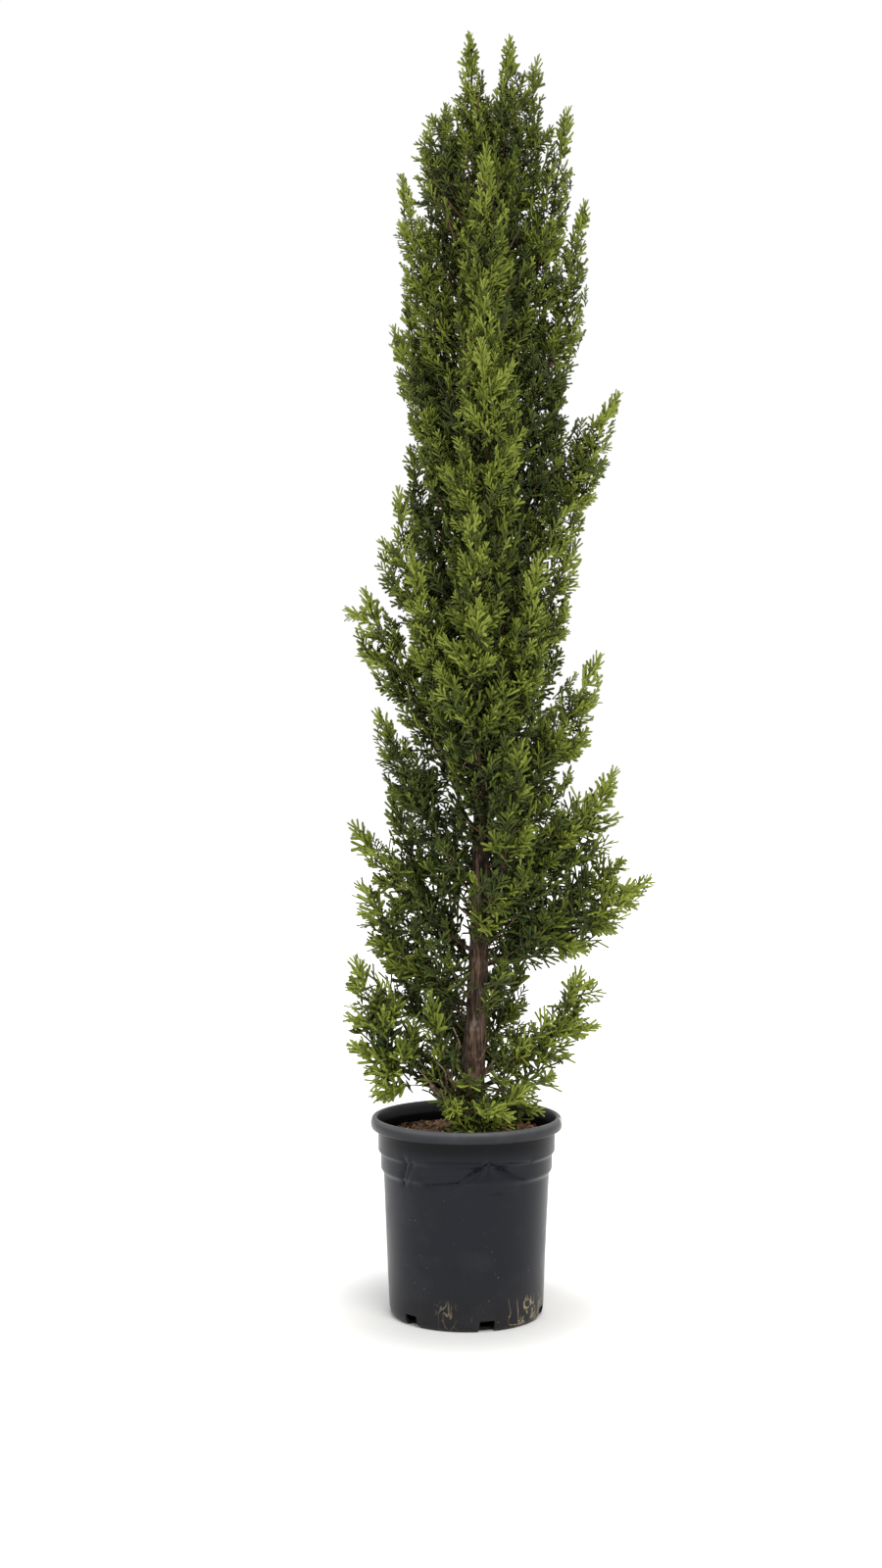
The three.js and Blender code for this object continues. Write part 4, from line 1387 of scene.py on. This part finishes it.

# --- Lesser shoots --------------------
# Thin leafy shoots that leave the trunk between its boughs and close the
# crown from edge to edge, and a low tuft of them over the soil in front.

# the height at which each leaves the trunk, where it ends, and how light it is painted:
# painted light above nought, painted shade below
BETWEEN = [
    (505, 130, -30, 585, 0.9), (520, 178, 22, 640, 0.7), (540, 215, -12, 645, 0.9),
    (498, 92, 32, 562, 0.5), (532, 112, -46, 640, 0.8), (560, 160, -6, 668, 0.8),
    (585, 118, 30, 690, 0.4), (600, 140, -28, 715, 0.7), (466, -56, -36, 545, 0.0),
    (480, -44, 36, 560, -0.3), (450, -30, -44, 520, 0.0), (566, -56, -30, 660, 0.0),
    (580, -50, 30, 668, -0.3), (600, -40, -50, 690, 0.1), (424, 56, -32, 516, 0.2),
    (440, 62, 30, 530, 0.0), (690, 118, -26, 800, 0.1), (712, 122, 18, 838, 0.0),
    (735, 124, -14, 872, 0.2), (760, 112, 28, 900, 0.0), (668, 104, 6, 770, 0.0),
    (640, 118, -34, 752, 0.2), (790, 106, -34, 925, 0.2), (400, 46, 44, 490, -0.3),
    (395, -50, 46, 480, -0.3), (420, -64, 30, 505, -0.3), (326, 128, -26, 350, 0.5),
    (312, 98, -64, 310, 0.5), (338, 184, -16, 486, 1.2), (346, 170, 6, 446, 0.9),
    (310, -52, 12, 372, -1.2), (304, -40, -10, 350, -1.4), (322, -66, -6, 380, -0.6),
    (560, 228, -12, 660, 0.5), (1590, -60, -12, 1706, 0.0), (1610, -50, 8, 1734, 0.0),
    (1640, 32, -8, 1756, 0.2), (1650, 36, 10, 1748, 0.0), (1680, 84, -4, 1790, 0.3),
    (1670, 88, 8, 1768, 0.0), (1630, 124, -4, 1712, 0.2), (1630, -18, -6, 1740, 0.0),
    (1150, 196, -12, 1300, 0.5), (1130, 178, 12, 1262, 0.3), (1116, 186, -22, 1238, 0.4),
    (1570, -66, -22, 1672, 0.2), (1560, -62, 18, 1690, -0.3),
]
FRONT_TUFT = [
    (304, 2, -84, 366, -0.7), (298, 56, -84, 352, -0.4), (288, 26, -100, 322, -0.4),
    (300, 78, -66, 320, -0.6), (290, -30, -88, 318, -1.0), (284, 8, -112, 280, -0.3),
    (282, 44, -104, 290, -0.5),
]
# the steps from one finger to the next, and from one spray to the next
BETWEEN_STEPS, TUFT_STEPS = (0.0055, 0.0105), (0.0100, 0.0190)

# and a shoot to either side in turn, up through the upper crown
for k, height in enumerate(range(1120, 1660, 30)):
    middle, hand = trunk_at((height + 80) * MM)[0], 1 if k % 2 else -1
    edge, _ = crown_edge(middle + Vector((hand * 0.02, 0.0, 0.0)))
    across, deep = middle.x + hand * 0.62 * edge, middle.y + draw.uniform(-0.034, 0.034)
    BETWEEN.append((height, across / MM, deep / MM, height + 85, 0.0))


def leafy_shoots(rows, finger_step, spray_step):
    """The sprays of several shoots, each bowed a little under its chord."""
    shoots = []
    put = partial(place_spray, shoots, draw)
    for height, *end, lighter in rows:
        start, end = np.array(trunk_at(height * MM)[0]), np.array(end) * MM
        course = unit(end - start)
        bow = 0.5 * (start + end) - UP * (0.10 * norm(end - start))
        path = smooth_path([start, bow, end], 12)
        twigs.append((path, np.linspace(0.0026, 0.0012, 12)))
        run, side, at = length_along(path), draw.random() * ANY_TURN, 0.030
        while at < run[-1] - 0.004:
            place, heading = station(path, run, at, 0.006)
            left, outward = run[-1] - at, around(heading, side)
            axis = unit(leant(heading, outward, radians(draw.uniform(30, 48))) + UP * 0.25)
            if left < 0.030:
                tip = place + axis * min(FINGER_LENGTH, left + 0.006)
                put(tip, axis, 1.0, lighter + 0.5, "finger")
                at += finger_step
            else:
                size = draw.uniform(0.75, 1.0)
                put(place + axis * SPRAY_LENGTH * size, axis, size, lighter, outward=outward)
                at += spray_step
            side += GOLDEN + draw.normal(0.0, 0.2)
        put(path[-1] + course * 0.004, course, 1.0, lighter + 0.6, "finger")
    return shoots


leafy_piece(leafy_shoots(BETWEEN, *BETWEEN_STEPS), "sprays_between")
leafy_piece(leafy_shoots(FRONT_TUFT, *TUFT_STEPS), "sprays_front_tuft")

# --- Branchlets -----------------------
# The thin green and brown twigs, a millimetre or two thick, that carry the
# sprays. They run from the limbs and the trunk to each spray's foot.

BRANCHLET_SIDES = 3
twig_green, _ = principled("twig_green", (0.125, 0.085, 0.042), 0.75, 0.15)


def twig_tree():
    """Round stems along edges, as thick as each point's girth says."""
    tree, given, result = geometry_tree("grow_twigs", [("Sides", "Int", 4)])
    line = add_node(tree, "GeometryNodeMeshToCurve", {"Mesh": given.outputs["Geometry"]})
    ring = add_node(tree, "GeometryNodeCurvePrimitiveCircle", {
        "Resolution": given.outputs["Sides"], "Radius": 1.0})
    stems = add_node(tree, "GeometryNodeCurveToMesh", {
        "Curve": line, "Profile Curve": ring, "Scale": named(tree, "girth", "FLOAT"),
        "Fill Caps": True})
    real = add_node(tree, "GeometryNodeRealizeInstances", {"Geometry": stems})
    smooth = add_node(tree, "GeometryNodeSetShadeSmooth", {"Geometry": real})
    wire(painted(smooth, 0, [twig_green]), result, "Geometry")
    return tree


paths, girths = zip(*twigs)
edges, first = [], 0
for path in paths:
    edges.extend((first + k, first + k + 1) for k in range(len(path) - 1))
    first += len(path)
twig_lines = point_cloud("twig_lines", np.concatenate(paths),
                         [("girth", "FLOAT", np.concatenate(girths))], edges)
branchlets = grown(twig_lines, twig_tree(), {"Sides": BRANCHLET_SIDES}, "branchlets")
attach(branchlets, "root")
